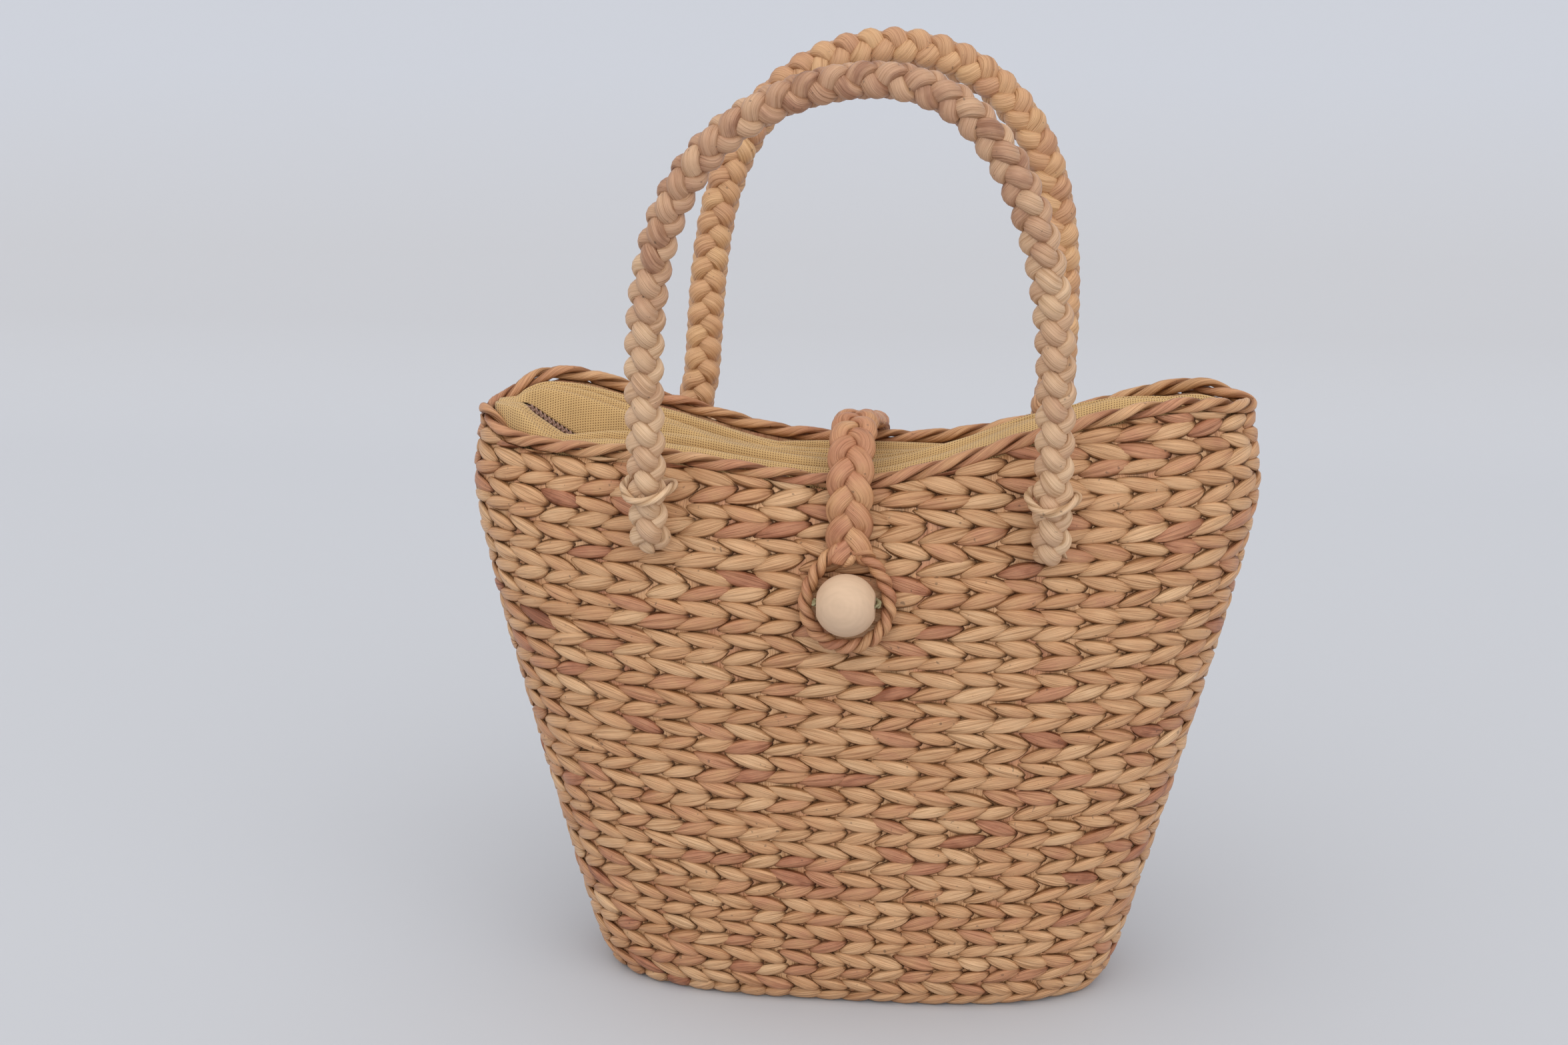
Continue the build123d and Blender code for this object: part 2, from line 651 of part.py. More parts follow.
def lining_top(side, crest):
    """Cloth panel from the rim, over a fold, down to the zip."""
    high = inner_ring(1, WALL + CLOTH_GAP)
    low = inner_ring(LINING_SHARES[1], WALL + CLOTH_GAP)
    ring = [mix(p, q, PANEL_EDGE_SHARE) for p, q in zip(high, low)]
    edge = []
    for step in range(PANEL_STEPS + 1):
        x = ZIP_HALF_LENGTH * (2 * step / PANEL_STEPS - 1)
        for p, q in zip(ring, ring[1:] + ring[:1]):
            if (p[0] - x) * (q[0] - x) <= 0 and (p[1] + q[1]) * side > 0:
                edge.append(mix(p, q, (x - p[0]) / (q[0] - p[0])))
                break
    rows = []
    for x, y, z in edge:
        rim = rim_height(x, y)
        valley = zip_rise(x) + TAPE_THICK / 2 + SEAT + CLOTH
        fold = max(rim + crest, valley + CLOTH)
        rows.append((
            (x, y, z),
            (x, y * FOLD_START_SHARE, z + (fold - z) * FOLD_RISE_SHARE),
            (x, y + (side * TAPE_OUTER - y) * FOLD_MIDDLE_SHARE, fold),
            (x, side * (TAPE_OUTER - CLOTH), valley),
        ))
    under = [[add(p, (0, 0, -CLOTH)) for p in row] for row in rows]
    faces = []
    for i in range(len(rows) - 1):
        for j in range(3):
            for sheet, order in ((rows, 1), (under, -1)):
                quad = (sheet[i][j], sheet[i + 1][j], sheet[i + 1][j + 1], sheet[i][j + 1])
                for corners in ((quad[0], quad[1], quad[2]), (quad[0], quad[2], quad[3])):
                    faces.append(corners[::order * -side])
    border = [rows[i][0] for i in range(len(rows))] + [rows[-1][j] for j in range(1, 4)]
    border += [rows[i][3] for i in range(len(rows) - 2, -1, -1)] + [rows[0][j] for j in range(2, 0, -1)]
    dropped = [add(p, (0, 0, -CLOTH)) for p in border]
    if side > 0:
        border, dropped = border[::-1], dropped[::-1]
    faces += band(dropped, border)
    return solid(faces)


# Zip


def zip_strip(side, inner, outer, low, high):
    """Long strip beside the zip's middle line, following its height."""
    stations = []
    for end in (-1, 1):
        for share in ZIP_END_SHARES:
            stations.append(end * (ZIP_STRAIGHT + (ZIP_HALF_LENGTH - ZIP_STRAIGHT) * share))
    rings = []
    for x in sorted(stations):
        z = zip_rise(x)
        corners = [(inner, low), (outer, low), (outer, high), (inner, high)]
        rings.append([(x, side * y, z + rise) for y, rise in corners])
    return solid(skin(rings if side > 0 else flipped(rings)))


def zip_tape(side):
    return zip_strip(side, TAPE_INNER, TAPE_OUTER, -TAPE_THICK / 2, TAPE_THICK / 2)


def zip_coil(side):
    return zip_strip(side, COIL_INNER, COIL_OUTER, TAPE_THICK / 2, TAPE_THICK / 2 + COIL_TALL)


def zip_slider():
    """Two plates round the coil, a post in the slit, side flanges and a bail for the pull."""
    half = SLIDER_LENGTH / 2
    coil_top = TAPE_THICK / 2 + COIL_TALL
    top = coil_top + SEAT
    under = -TAPE_THICK / 2 - SEAT
    wide = SLIDER_HALF_WIDTH
    body = box_between((-half, -wide, top), (half, wide, top + SLIDER_PLATE))
    body += box_between((-half, -wide, under - SLIDER_PLATE), (half, wide, under))
    body += box_between((half / 2, -SLIDER_POST / 2, under), (half, SLIDER_POST / 2, top))
    flange = COIL_OUTER + 2 * SEAT
    for side in (-1, 1):
        near, far = sorted((side * flange, side * wide))
        body += box_between((-half, near, TAPE_THICK / 2 + SEAT), (half, far, top))
        near, far = sorted((side * BAIL_EAR_INNER, side * BAIL_EAR_OUTER))
        body += box_between((-BAIL_BAR, near, top + SLIDER_PLATE), (BAIL_BAR, far, BAIL_HEIGHT + BAIL_BAR))
    bar = BAIL_BAR / 2
    body += box_between((-bar, -BAIL_EAR_OUTER, BAIL_HEIGHT - bar), (bar, BAIL_EAR_OUTER, BAIL_HEIGHT + bar))
    return Pos(SLIDER_AT, 0, ZIP_HEIGHT) * body


def zip_pull():
    """Flat tab with an eye round the slider's bail."""
    turns = [pi * k / 4 for k in range(8)]
    eye = Face(Wire.make_polygon([(PULL_EYE * cos(a), 0, PULL_EYE * sin(a)) for a in turns]))
    hole = Face(Wire.make_polygon([(PULL_HOLE * cos(a), 0, PULL_HOLE * sin(a)) for a in turns]))
    tab = box_between(
        (-PULL_LENGTH, -PULL_HALF_WIDTH, -PULL_HALF_THICK),
        (-(PULL_EYE + PULL_HOLE) / 2, PULL_HALF_WIDTH, PULL_HALF_THICK),
    )
    ring = extrude(eye - hole, amount=PULL_HALF_WIDTH, dir=(0, 1, 0), both=True)
    return Pos(SLIDER_AT, 0, ZIP_HEIGHT + BAIL_HEIGHT) * (ring + tab)


NODES = {
    "woven_body": woven_body,
    "rim_rope": rim_rope,
    "handle_front": lambda: handle(-1),
    "handle_rear": lambda: handle(1),
    "handle_tie_front_left": lambda: handle_tie(-1, -1),
    "handle_tie_front_right": lambda: handle_tie(-1, 1),
    "handle_tie_rear_left": lambda: handle_tie(1, -1),
    "handle_tie_rear_right": lambda: handle_tie(1, 1),
    "strap_anchor": strap_anchor,
    "strap_flap": strap_flap,
    "wooden_bead": wooden_bead,
    "bead_cord": bead_cord,
    "lining_pouch": lining_pouch,
    "lining_top_front": lambda: lining_top(-1, FRONT_CREST),
    "lining_top_rear": lambda: lining_top(1, REAR_CREST),
    "zip_tape_front": lambda: zip_tape(-1),
    "zip_tape_rear": lambda: zip_tape(1),
    "zip_coil_front": lambda: zip_coil(-1),
    "zip_coil_rear": lambda: zip_coil(1),
    "zip_slider": zip_slider,
    "zip_pull": zip_pull,
}

os.makedirs("parts", exist_ok=True)
for name, make in NODES.items():
    export_step(make(), f"parts/{name}.step")
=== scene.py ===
# %% [markdown]
# # A straw handbag
# The bag is a twined basket of water-hyacinth leaf: a wall of slanted stitches, a rope round the rim, two
# braided handles with ties, a braided strap that loops over a wooden bead, and a zipped cloth lining. The
# imported model is loaded first and stays fixed: every new piece of the bag but the strap rides on one of
# its bodies.

# %% Load the imported model
import json
import math

import bpy
import numpy as np
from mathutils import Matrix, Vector


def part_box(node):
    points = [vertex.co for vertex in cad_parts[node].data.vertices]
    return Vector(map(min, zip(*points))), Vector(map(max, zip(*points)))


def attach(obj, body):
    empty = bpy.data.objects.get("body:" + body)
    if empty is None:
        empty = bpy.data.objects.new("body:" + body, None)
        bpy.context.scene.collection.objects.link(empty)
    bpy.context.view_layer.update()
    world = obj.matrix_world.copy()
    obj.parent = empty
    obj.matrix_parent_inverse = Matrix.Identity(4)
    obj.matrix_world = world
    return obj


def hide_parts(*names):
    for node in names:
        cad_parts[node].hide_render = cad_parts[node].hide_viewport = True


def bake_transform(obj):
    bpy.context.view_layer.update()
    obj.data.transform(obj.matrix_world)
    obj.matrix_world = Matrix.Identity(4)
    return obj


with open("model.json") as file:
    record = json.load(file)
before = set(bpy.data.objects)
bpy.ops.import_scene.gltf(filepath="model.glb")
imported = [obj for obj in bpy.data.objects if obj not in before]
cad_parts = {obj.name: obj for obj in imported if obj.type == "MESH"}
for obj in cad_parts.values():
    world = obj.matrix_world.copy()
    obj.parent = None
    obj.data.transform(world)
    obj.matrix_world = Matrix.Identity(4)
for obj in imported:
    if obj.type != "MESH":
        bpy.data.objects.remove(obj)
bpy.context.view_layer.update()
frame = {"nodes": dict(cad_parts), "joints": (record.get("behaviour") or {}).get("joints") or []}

MM = 0.001
rng = np.random.default_rng(7)


# %% [markdown]
# ## Camera
# The photograph looks at the front from a little to the right and about fifteen degrees above, with a
# normal lens. Two angles and a distance from a target set the camera, so each can be fitted by itself.

# %% Camera
AZIMUTH, ELEVATION, DISTANCE = math.radians(6.0), math.radians(15.3), 0.909
TARGET = Vector((-0.0316, 0, 0.1966))
back = Vector((
    math.sin(AZIMUTH) * math.cos(ELEVATION),
    -math.cos(AZIMUTH) * math.cos(ELEVATION),
    math.sin(ELEVATION),
))
bpy.ops.object.select_all(action="DESELECT")
bpy.ops.object.camera_add(location=TARGET + back * DISTANCE)
camera = bpy.context.object
camera.name = "camera"
camera.rotation_euler = (-back).to_track_quat("-Z", "Y").to_euler()
camera.data.sensor_fit = "HORIZONTAL"
camera.data.sensor_width = 36
camera.data.lens = 50
bpy.context.scene.camera = camera
bpy.context.scene.view_settings.view_transform = "Standard"
print("camera at", [round(v, 3) for v in camera.location])


# %% [markdown]
# ## Colours and shader helpers
# Colours are written as screen values from 0 to 255 and turned into the linear values that shaders use. A
# few small helpers keep the node trees short.

# %% Shader helpers
def tone(red, green, blue):
    """Screen colour from 0 to 255 as a linear colour."""
    out = []
    for value in (red, green, blue):
        value /= 255
        out.append(value / 12.92 if value <= 0.04045 else ((value + 0.055) / 1.055) ** 2.4)
    return (*out, 1.0)


def grey(value):
    return (value, value, value, 1)


def brown(value):
    """Warm shade: darker straw also turns more orange."""
    return (value ** 0.75, value, value ** 1.35, 1)


def new_material(name):
    material = bpy.data.materials.new(name)
    material.use_nodes = True
    tree = material.node_tree
    return material, tree, tree.nodes["Principled BSDF"]


def feed(tree, made, sockets):
    """Sets a node's sockets, each to a value or to another socket."""
    for key, value in sockets.items():
        if isinstance(value, bpy.types.NodeSocket):
            tree.links.new(value, made.inputs[key])
        else:
            made.inputs[key].default_value = value


def node(tree, kind, sockets, **settings):
    made = tree.nodes.new(kind)
    for key, value in settings.items():
        setattr(made, key, value)
    feed(tree, made, sockets)
    return made


def coordinates(tree, kind):
    return node(tree, "ShaderNodeTexCoord", {}).outputs[kind]


def attribute(tree, name):
    return node(tree, "ShaderNodeAttribute", {}, attribute_name=name).outputs["Fac"]


def bump(tree, height, strength, distance):
    sockets = {"Height": height, "Strength": strength, "Distance": distance}
    return node(tree, "ShaderNodeBump", sockets).outputs[0]


def reckon(tree, kind, *values):
    """One step of arithmetic on values or sockets."""
    return node(tree, "ShaderNodeMath", dict(enumerate(values)), operation=kind).outputs[0]


def noise(tree, where, scale, detail, **settings):
    sockets = {"Vector": where, "Scale": scale, "Detail": detail}
    return node(tree, "ShaderNodeTexNoise", sockets, **settings).outputs["Fac"]


def ramp(tree, source, stops):
    """Colour ramp through stops of (place, colour)."""
    made = node(tree, "ShaderNodeValToRGB", {"Fac": source})
    band = made.color_ramp
    while len(band.elements) < len(stops):
        band.elements.new(0.5)
    for element, (place, colour) in zip(band.elements, stops):
        element.position = place
        element.color = colour
    return made.outputs["Color"]


def multiply(tree, first, second):
    sockets = {"Factor": 1.0, 6: first, 7: second}
    return node(tree, "ShaderNodeMix", sockets, data_type="RGBA", blend_type="MULTIPLY").outputs[2]


print("a screen value of 128 is", round(tone(128, 128, 128)[0], 3), "in linear light")


# %% [markdown]
# ## Sheets and tubes from a grid
# A leaf, a strand or a cloth is a flat sheet before it is bent. So each one starts as a grid primitive
# with its UV map, and its points are then moved to their place along a line or over a surface. The seam
# of a rolled sheet is merged, and its normals are turned outwards.

# %% Grid helpers
SEAM = 2e-6


def add_grid(name, along, across):
    """Grid primitive; also gives each point's share along and across."""
    bpy.ops.object.select_all(action="DESELECT")
    bpy.ops.mesh.primitive_grid_add(x_subdivisions=along, y_subdivisions=across, size=1, calc_uvs=True)
    piece = bpy.context.object
    piece.name = name
    piece.data.name = name
    flat = np.empty(len(piece.data.vertices) * 3)
    piece.data.vertices.foreach_get("co", flat)
    flat = flat.reshape(-1, 3) + 0.5
    return piece, flat[:, 0], flat[:, 1]


def set_points(piece, points):
    piece.data.vertices.foreach_set("co", np.asarray(points, float).ravel())
    piece.data.update()


def set_uv(piece, u, v):
    """UV map in metres from values at each point."""
    corner = np.empty(len(piece.data.loops), int)
    piece.data.loops.foreach_get("vertex_index", corner)
    layer = piece.data.uv_layers[0]
    layer.data.foreach_set("uv", np.stack([u[corner], v[corner]], 1).ravel())


def set_value(piece, name, values):
    layer = piece.data.attributes.new(name, "FLOAT", "POINT")
    layer.data.foreach_set("value", np.asarray(values, float))


def pick(piece):
    """Makes one piece the selected and active one."""
    bpy.ops.object.select_all(action="DESELECT")
    bpy.context.view_layer.objects.active = piece
    piece.select_set(True)


def close_up(piece):
    """Merges the seam, turns the faces outwards and shades the piece smooth."""
    pick(piece)
    bpy.ops.object.mode_set(mode="EDIT")
    bpy.ops.mesh.select_all(action="SELECT")
    bpy.ops.mesh.remove_doubles(threshold=SEAM)
    bpy.ops.mesh.normals_make_consistent(inside=False)
    bpy.ops.object.mode_set(mode="OBJECT")
    bpy.ops.object.shade_smooth()


def thicken(piece, thickness, offset=0):
    pick(piece)
    made = piece.modifiers.new("thickness", "SOLIDIFY")
    made.thickness = thickness
    made.offset = offset
    bpy.ops.object.modifier_apply(modifier="thickness")


def join(name, pieces):
    bpy.ops.object.select_all(action="DESELECT")
    for piece in pieces:
        piece.select_set(True)
    bpy.context.view_layer.objects.active = pieces[0]
    bpy.ops.object.join()
    pieces[0].name = name
    pieces[0].data.name = name
    return pieces[0]


def triangles(piece):
    return sum(len(face.vertices) - 2 for face in piece.data.polygons)


# %% [markdown]
# A strand is a grid rolled into a tube along a line. All the ropes, braids and cords of the bag are made
# of it.

# %% Strand helpers
def unit(vectors):
    return vectors / np.linalg.norm(vectors, axis=-1, keepdims=True)


def run_along(line):
    """Length along a line, at each of its points."""
    return np.concatenate([[0], np.cumsum(np.linalg.norm(np.diff(line, axis=0), axis=1))])


def at_lengths(want, run, rows):
    return np.stack([np.interp(want, run, rows[:, k]) for k in range(3)], 1)


def even_line(line, steps):
    """The line at even steps, and the length along it at each step."""
    run = run_along(line)
    even = np.linspace(0, run[-1], steps + 1)
    return at_lengths(even, run, line), even


def strand(name, line, wide, thick, face, steps, sides, taper=3, tint=None, closed=False, flat=False):
    """Leaf strand along a line: wide across it, thick along the face direction, with pointed ends if open.

    Its tuck shade value is painted shade: it marks the side away from the face, or both edges of a flat
    strand.
    """
    line, face = np.asarray(line), np.asarray(face)
    run = run_along(line)
    want = np.linspace(0, run[-1], steps + 1)
    middle = at_lengths(want, run, line)
    facing = at_lengths(want, run, face)
    if closed:
        ahead = np.roll(middle[:-1], -1, 0) - np.roll(middle[:-1], 1, 0)
        ahead = unit(np.concatenate([ahead, ahead[:1]]))
    else:
        ahead = unit(np.gradient(middle, axis=0))
    out = unit(facing - ahead * np.sum(facing * ahead, 1, keepdims=True))
    side = np.cross(ahead, out)
    piece, u, v = add_grid(name, steps, sides)
    station = np.rint(u * steps).astype(int)
    angle = 2 * math.pi * np.rint(v * sides) / sides
    full = np.ones(steps + 1)
    if not closed:
        for k in range(taper):
            full[k] = full[-1 - k] = math.sin(math.pi / 2 * k / taper)
    size = full[station][:, None]
    points = middle[station] + size * (
        side[station] * (wide * np.cos(angle))[:, None] + out[station] * (thick * np.sin(angle))[:, None]
    )
    set_points(piece, points)
    set_uv(piece, u * run[-1] + rng.uniform(0, 9), v * (wide + thick) * math.pi + rng.uniform(0, 9))
    if tint is None:
        set_value(piece, "tint", np.full(len(u), rng.uniform(0.2, 0.8)))
    else:
        set_value(piece, "tint", tint(u * run[-1]))
    # Painted shade: the side away from the face, or both edges of a flat strand, is marked to be darkened
    # where strands press together.
    outer = np.abs(np.sin(angle)) if flat else np.sin(angle)
    set_value(piece, "tuck_shade", np.clip((0.5 - outer) / 0.8, 0, 1))
    close_up(piece)
    return piece


def wander(length, step, low, high):
    """Slowly changing tint along a strand."""
    knots = rng.uniform(low, high, max(2, int(length / step) + 3))
    return lambda run: np.interp(run, np.arange(len(knots)) * step, knots)


# %% [markdown]
# ## Floor and light
# The floor is one paper sweep: flat under the bag, then bent up behind it, so that no horizon line shows.
# Its pale tone changes a little with height, as painted shade where the light falls off along the sweep. A
# bright sky and two broad soft lamps give the even light of a small photo studio.

# %% Paper sweep
SWEEP_LENGTH, SWEEP_FRONT, SWEEP_WIDTH = 7, 2.6, 9
BEND_START, BEND_RADIUS = 0.9, 1.4
# The paper's own pale tone, with painted shade: a little darker partway up the bend than on the floor and
# higher up.
PAPER_TONE_AND_SHADE = (
    (0.0, tone(194, 197, 204)), (0.05, tone(188, 190, 196)),
    (0.1, tone(187, 189, 195)), (0.27, tone(188, 192, 201)),
)
sweep, u, v = add_grid("paper_sweep", 2, 120)
run = v * SWEEP_LENGTH - SWEEP_FRONT
bend = np.clip((run - BEND_START) / BEND_RADIUS, 0, math.pi / 2)
upright = np.maximum(0, run - BEND_START - BEND_RADIUS * math.pi / 2)
rise = BEND_RADIUS * (1 - np.cos(bend)) + upright
depth = np.minimum(run, BEND_START) + BEND_RADIUS * np.sin(bend)
set_points(sweep, np.stack([(u - 0.5) * SWEEP_WIDTH, depth, rise], 1))
bpy.ops.object.shade_smooth()
paper, tree, shader = new_material("pale_paper")
height = node(tree, "ShaderNodeSeparateXYZ", {"Vector": coordinates(tree, "Object")}).outputs["Z"]
feed(tree, shader, {
    "Base Color": ramp(tree, height, PAPER_TONE_AND_SHADE), "Roughness": 1.0, "Specular IOR Level": 0.0,
})
sweep.data.materials.append(paper)
print("paper rises to", round(float(rise.max()), 2))


# %% Sky and lamps
WARM_WHITE = (1.0, 0.985, 0.96)
world = bpy.context.scene.world or bpy.data.worlds.new("studio")
bpy.context.scene.world = world
world.use_nodes = True
sky = world.node_tree.nodes["Background"]
sky.inputs["Color"].default_value = (*WARM_WHITE, 1)
sky.inputs["Strength"].default_value = 0.82


def sun(name, toward, power, spread, colour=(1, 1, 1)):
    """Broad soft lamp from one side, even over the whole sweep; its spread is in degrees."""
    bpy.ops.object.select_all(action="DESELECT")
    bpy.ops.object.light_add(type="SUN", location=Vector(toward) * -2)
    made = bpy.context.object
    made.name = name
    made.rotation_euler = Vector(toward).to_track_quat("-Z", "Y").to_euler()
    made.data.energy = power
    made.data.angle = math.radians(spread)
    made.data.color = colour


sun("key_lamp", (0.06, 0.7, -1.0), 1.15, 100, WARM_WHITE)
sun("fill_lamp", (-0.7, 0.9, -0.5), 0.45, 70)


# %% [markdown]
# ## Dry straw
# A straw piece carries a UV map in metres, whose first axis runs along the leaf, and a tint that picks
# its colour from a row of straw tones. Leaves and strands also carry a value for painted shade, which says
# how deep a place lies under its neighbours. The material stretches noise along the leaf for fibre lines and
# creases, adds stains and specks, paints shade into the crease valleys and the places that lie under, and
# brightens the light side of the fibre lines as a painted sheen.

# %% Straw material
STRAW_TONES = (
    (0.0, tone(222, 182, 141)), (0.3, tone(211, 166, 124)), (0.5, tone(203, 154, 112)),
    (0.72, tone(193, 138, 103)), (0.9, tone(178, 119, 88)), (1.0, tone(150, 92, 62)),
)
BRAID_TONES = (
    (0.0, tone(227, 194, 159)), (0.35, tone(215, 180, 146)), (0.65, tone(203, 164, 132)),
    (0.88, tone(188, 145, 116)), (1.0, tone(158, 113, 87)),
)
GOLD_TONES = (
    (0.0, tone(217, 176, 131)), (0.4, tone(203, 157, 117)),
    (0.75, tone(189, 140, 108)), (1.0, tone(162, 112, 84)),
)
CORD_TONES = ((0, tone(170, 166, 130)), (1, tone(140, 134, 100)))
STAIN_SCALE, SPECK_SCALE, WRINKLE = (110, 200, 1), 420.0, 0.6 * MM


def straw(name, tones, along=40.0, across=3000.0, crease_shade=0.4, fibres_and_sheen=0.42):
    material, tree, shader = new_material(name)
    tuck_shade, uv = attribute(tree, "tuck_shade"), coordinates(tree, "UV")

    def stretched(scale, detail):
        where = node(tree, "ShaderNodeMapping", {"Vector": uv, "Scale": scale})
        return noise(tree, where.outputs[0], 1.0, detail, noise_dimensions="2D")

    fibre = stretched((along, across, 1), 5.0)
    fold = stretched((along * 0.8, across * 0.22, 1), 2.0)
    stain = stretched(STAIN_SCALE, 3.0)
    stained = reckon(tree, "SUBTRACT", stain, 0.5)
    mixed = reckon(tree, "MULTIPLY_ADD", stained, 0.5, attribute(tree, "tint"))
    # Fibre lines: the darker side is the leaf's own fibre tone; the lighter side, above the base tone, is a
    # painted sheen.
    streak_and_sheen = ramp(tree, fibre, (
        (0.3, brown(1 - fibres_and_sheen)), (0.48, brown(1 - fibres_and_sheen / 8)), (0.7, grey(1 + fibres_and_sheen / 3)),
    ))
    # Painted shade: the straw is darker in the valleys of the crease noise and where it lies under its
    # neighbours.
    deep = reckon(tree, "MULTIPLY_ADD", tuck_shade, -0.2, fold)
    dark = ramp(tree, deep, ((0.26, brown(1 - crease_shade)), (0.38, brown(0.94)), (0.6, grey(1.0))))
    spots = noise(tree, coordinates(tree, "Object"), SPECK_SCALE, 1.0)
    speck = ramp(tree, spots, ((0.22, grey(0.55)), (0.27, grey(1.0))))
    # Painted shade, warm and dark, where the straw lies under its neighbours or against other strands.
    tuck_shade_colour = ramp(tree, tuck_shade, ((0.0, grey(1.0)), (0.5, brown(0.84)), (1.0, brown(0.5))))
    colour = ramp(tree, mixed, tones)
    for shade in (streak_and_sheen, dark, speck, tuck_shade_colour):
        colour = multiply(tree, colour, shade)
    relief = reckon(tree, "MULTIPLY_ADD", fold, 1.8, fibre)
    rough = node(tree, "ShaderNodeMapRange", {"Value": fibre, "To Min": 0.32, "To Max": 0.52})
    feed(tree, shader, {
        "Base Color": colour, "Normal": bump(tree, relief, 0.7, WRINKLE),
        "Roughness": rough.outputs[0], "Specular IOR Level": 0.5,
    })
    return material


WEAVE = straw("twined_straw", STRAW_TONES)
ROPE = straw("rim_straw", STRAW_TONES)
PALE_BRAID = straw("pale_braid_straw", BRAID_TONES, along=60, across=2600, crease_shade=0.3, fibres_and_sheen=0.24)
GOLD_BRAID = straw("golden_braid_straw", GOLD_TONES, along=60, across=2600, crease_shade=0.35, fibres_and_sheen=0.28)
STAKE = straw("stake_straw", STRAW_TONES, along=30, across=1900)
STRAP = straw("strap_straw", STRAW_TONES, along=60, across=2600, fibres_and_sheen=0.28)
CORD = straw("grey_green_cord", CORD_TONES, along=200)
print("straw materials", [m.name for m in (WEAVE, ROPE, PALE_BRAID, GOLD_BRAID, STAKE, STRAP, CORD)])


# %% [markdown]
# ## The wall as a surface
# The stitches, the stakes, the rim and the lining all follow one surface: a plan outline that grows,
# bulges and pinches with height, under a rim that dips in the middle. The surface is worked out once as a
# table of points, with even steps round the wall, and is then read at any place.

# %% Wall sizes
HALF_WIDTH, HALF_DEPTH, RIM_MID, RIM_RISE = 0.1625, 0.060, 0.224, 0.029
WIDTH_SHARES = (
    (0, 0.63), (0.03, 0.666), (0.09, 0.697), (0.3, 0.776),
    (0.55, 0.868), (0.75, 0.944), (0.9, 0.992), (1, 0.972),
)
DEPTH_SHARES = (
    (0, 0.69), (0.03, 0.76), (0.09, 0.82), (0.3, 0.91),
    (0.55, 0.98), (0.75, 1), (0.9, 0.925), (1, 0.8),
)
SQUARE_SHARES = ((0, 3.0), (0.55, 2.8), (1, 2.6))
FULL_SHARES = ((0, 0.38), (0.55, 0.42), (0.8, 0.5), (1, 0.6))
RIM_FRONT_SHARES = (
    (-1, 0.55), (-0.9, 0.29), (-0.48, 0.27), (0, 0), (0.21, 0.23),
    (0.46, 0.68), (0.68, 0.95), (0.85, 1), (1, 0.85),
)
RIM_REAR_SHARES = (
    (-1, 0.55), (-0.84, 0.92), (-0.55, 0.45), (-0.25, -0.02), (0, -0.1),
    (0.25, -0.02), (0.56, 0.41), (0.86, 0.95), (1, 0.85),
)
RIM_POWER, RIM_BLEND = 4, 3
AROUND, UP, OUTLINE_STEPS = 920, 140, 1440


def read(shares, at):
    """Share table with a smooth curve through its rows."""
    places = np.array([row[0] for row in shares], float)
    values = np.array([row[1] for row in shares], float)
    slopes = np.empty(len(places))
    for k in range(len(places)):
        low, high = max(k - 1, 0), min(k + 1, len(places) - 1)
        slopes[k] = (values[high] - values[low]) / (places[high] - places[low])
    at = np.clip(at, places[0], places[-1])
    k = np.clip(np.searchsorted(places, at, side="right") - 1, 0, len(places) - 2)
    span = places[k + 1] - places[k]
    t = (at - places[k]) / span
    bend = t * t * (3 - 2 * t) * (values[k + 1] - values[k])
    return values[k] + bend + t * (1 - t) ** 2 * slopes[k] * span - t * t * (1 - t) * slopes[k + 1] * span


print("half width at the base", round(HALF_WIDTH * float(read(WIDTH_SHARES, 0.0)), 4))


# %% Wall surface
def rim_height(x, y):
    """Height of the rim: the front and rear lines blend into each other near the middle of the depth."""
    across = np.clip(x / (HALF_WIDTH * WIDTH_SHARES[-1][1]), -1, 1)
    front = np.clip((1 - y / (HALF_DEPTH * DEPTH_SHARES[-1][1] / RIM_BLEND)) / 2, 0, 1)
    rear = read(RIM_REAR_SHARES, across)
    return RIM_MID + RIM_RISE * (rear + (read(RIM_FRONT_SHARES, across) - rear) * front)


def plan_outline(share):
    """Outline at a share of the height, in even steps round it."""
    turn = np.linspace(0, 2 * math.pi, OUTLINE_STEPS + 1)
    square, full = read(SQUARE_SHARES, share), read(FULL_SHARES, share)
    across = np.abs(np.cos(turn)) ** (2 / square)
    bulge = np.maximum(0, 1 - across ** square) ** full
    x = HALF_WIDTH * read(WIDTH_SHARES, share) * across * np.sign(np.cos(turn))
    y = HALF_DEPTH * read(DEPTH_SHARES, share) * bulge * np.sign(np.sin(turn))
    run = np.concatenate([[0], np.cumsum(np.hypot(np.diff(x), np.diff(y)))])
    even = np.linspace(0, run[-1], AROUND + 1)
    return np.interp(even, run, x), np.interp(even, run, y)


outline = np.array([plan_outline(k / UP) for k in range(UP + 1)])
share = np.linspace(0, 1, UP + 1)[:, None]
rim_line = rim_height(outline[-1, 0], outline[-1, 1])
wall_z = RIM_MID * share + (rim_line - RIM_MID)[None] * share ** RIM_POWER
SURFACE = np.stack([outline[:, 0], outline[:, 1], wall_z], 2)
round_step = np.roll(SURFACE[:, :-1], -1, 1) - np.roll(SURFACE[:, :-1], 1, 1)
OUTWARD = unit(np.cross(np.concatenate([round_step, round_step[:, :1]], 1), np.gradient(SURFACE, axis=0)))


def lookup(table, around, up):
    """Table values at shares round and up the wall."""
    column, level = np.mod(around, 1) * AROUND, np.clip(up, 0, 1) * UP
    i, j = np.minimum(column.astype(int), AROUND - 1), np.minimum(level.astype(int), UP - 1)
    s, t = (column - i)[:, None], (level - j)[:, None]
    low = table[j, i] * (1 - s) + table[j, i + 1] * s
    high = table[j + 1, i] * (1 - s) + table[j + 1, i + 1] * s
    return low * (1 - t) + high * t


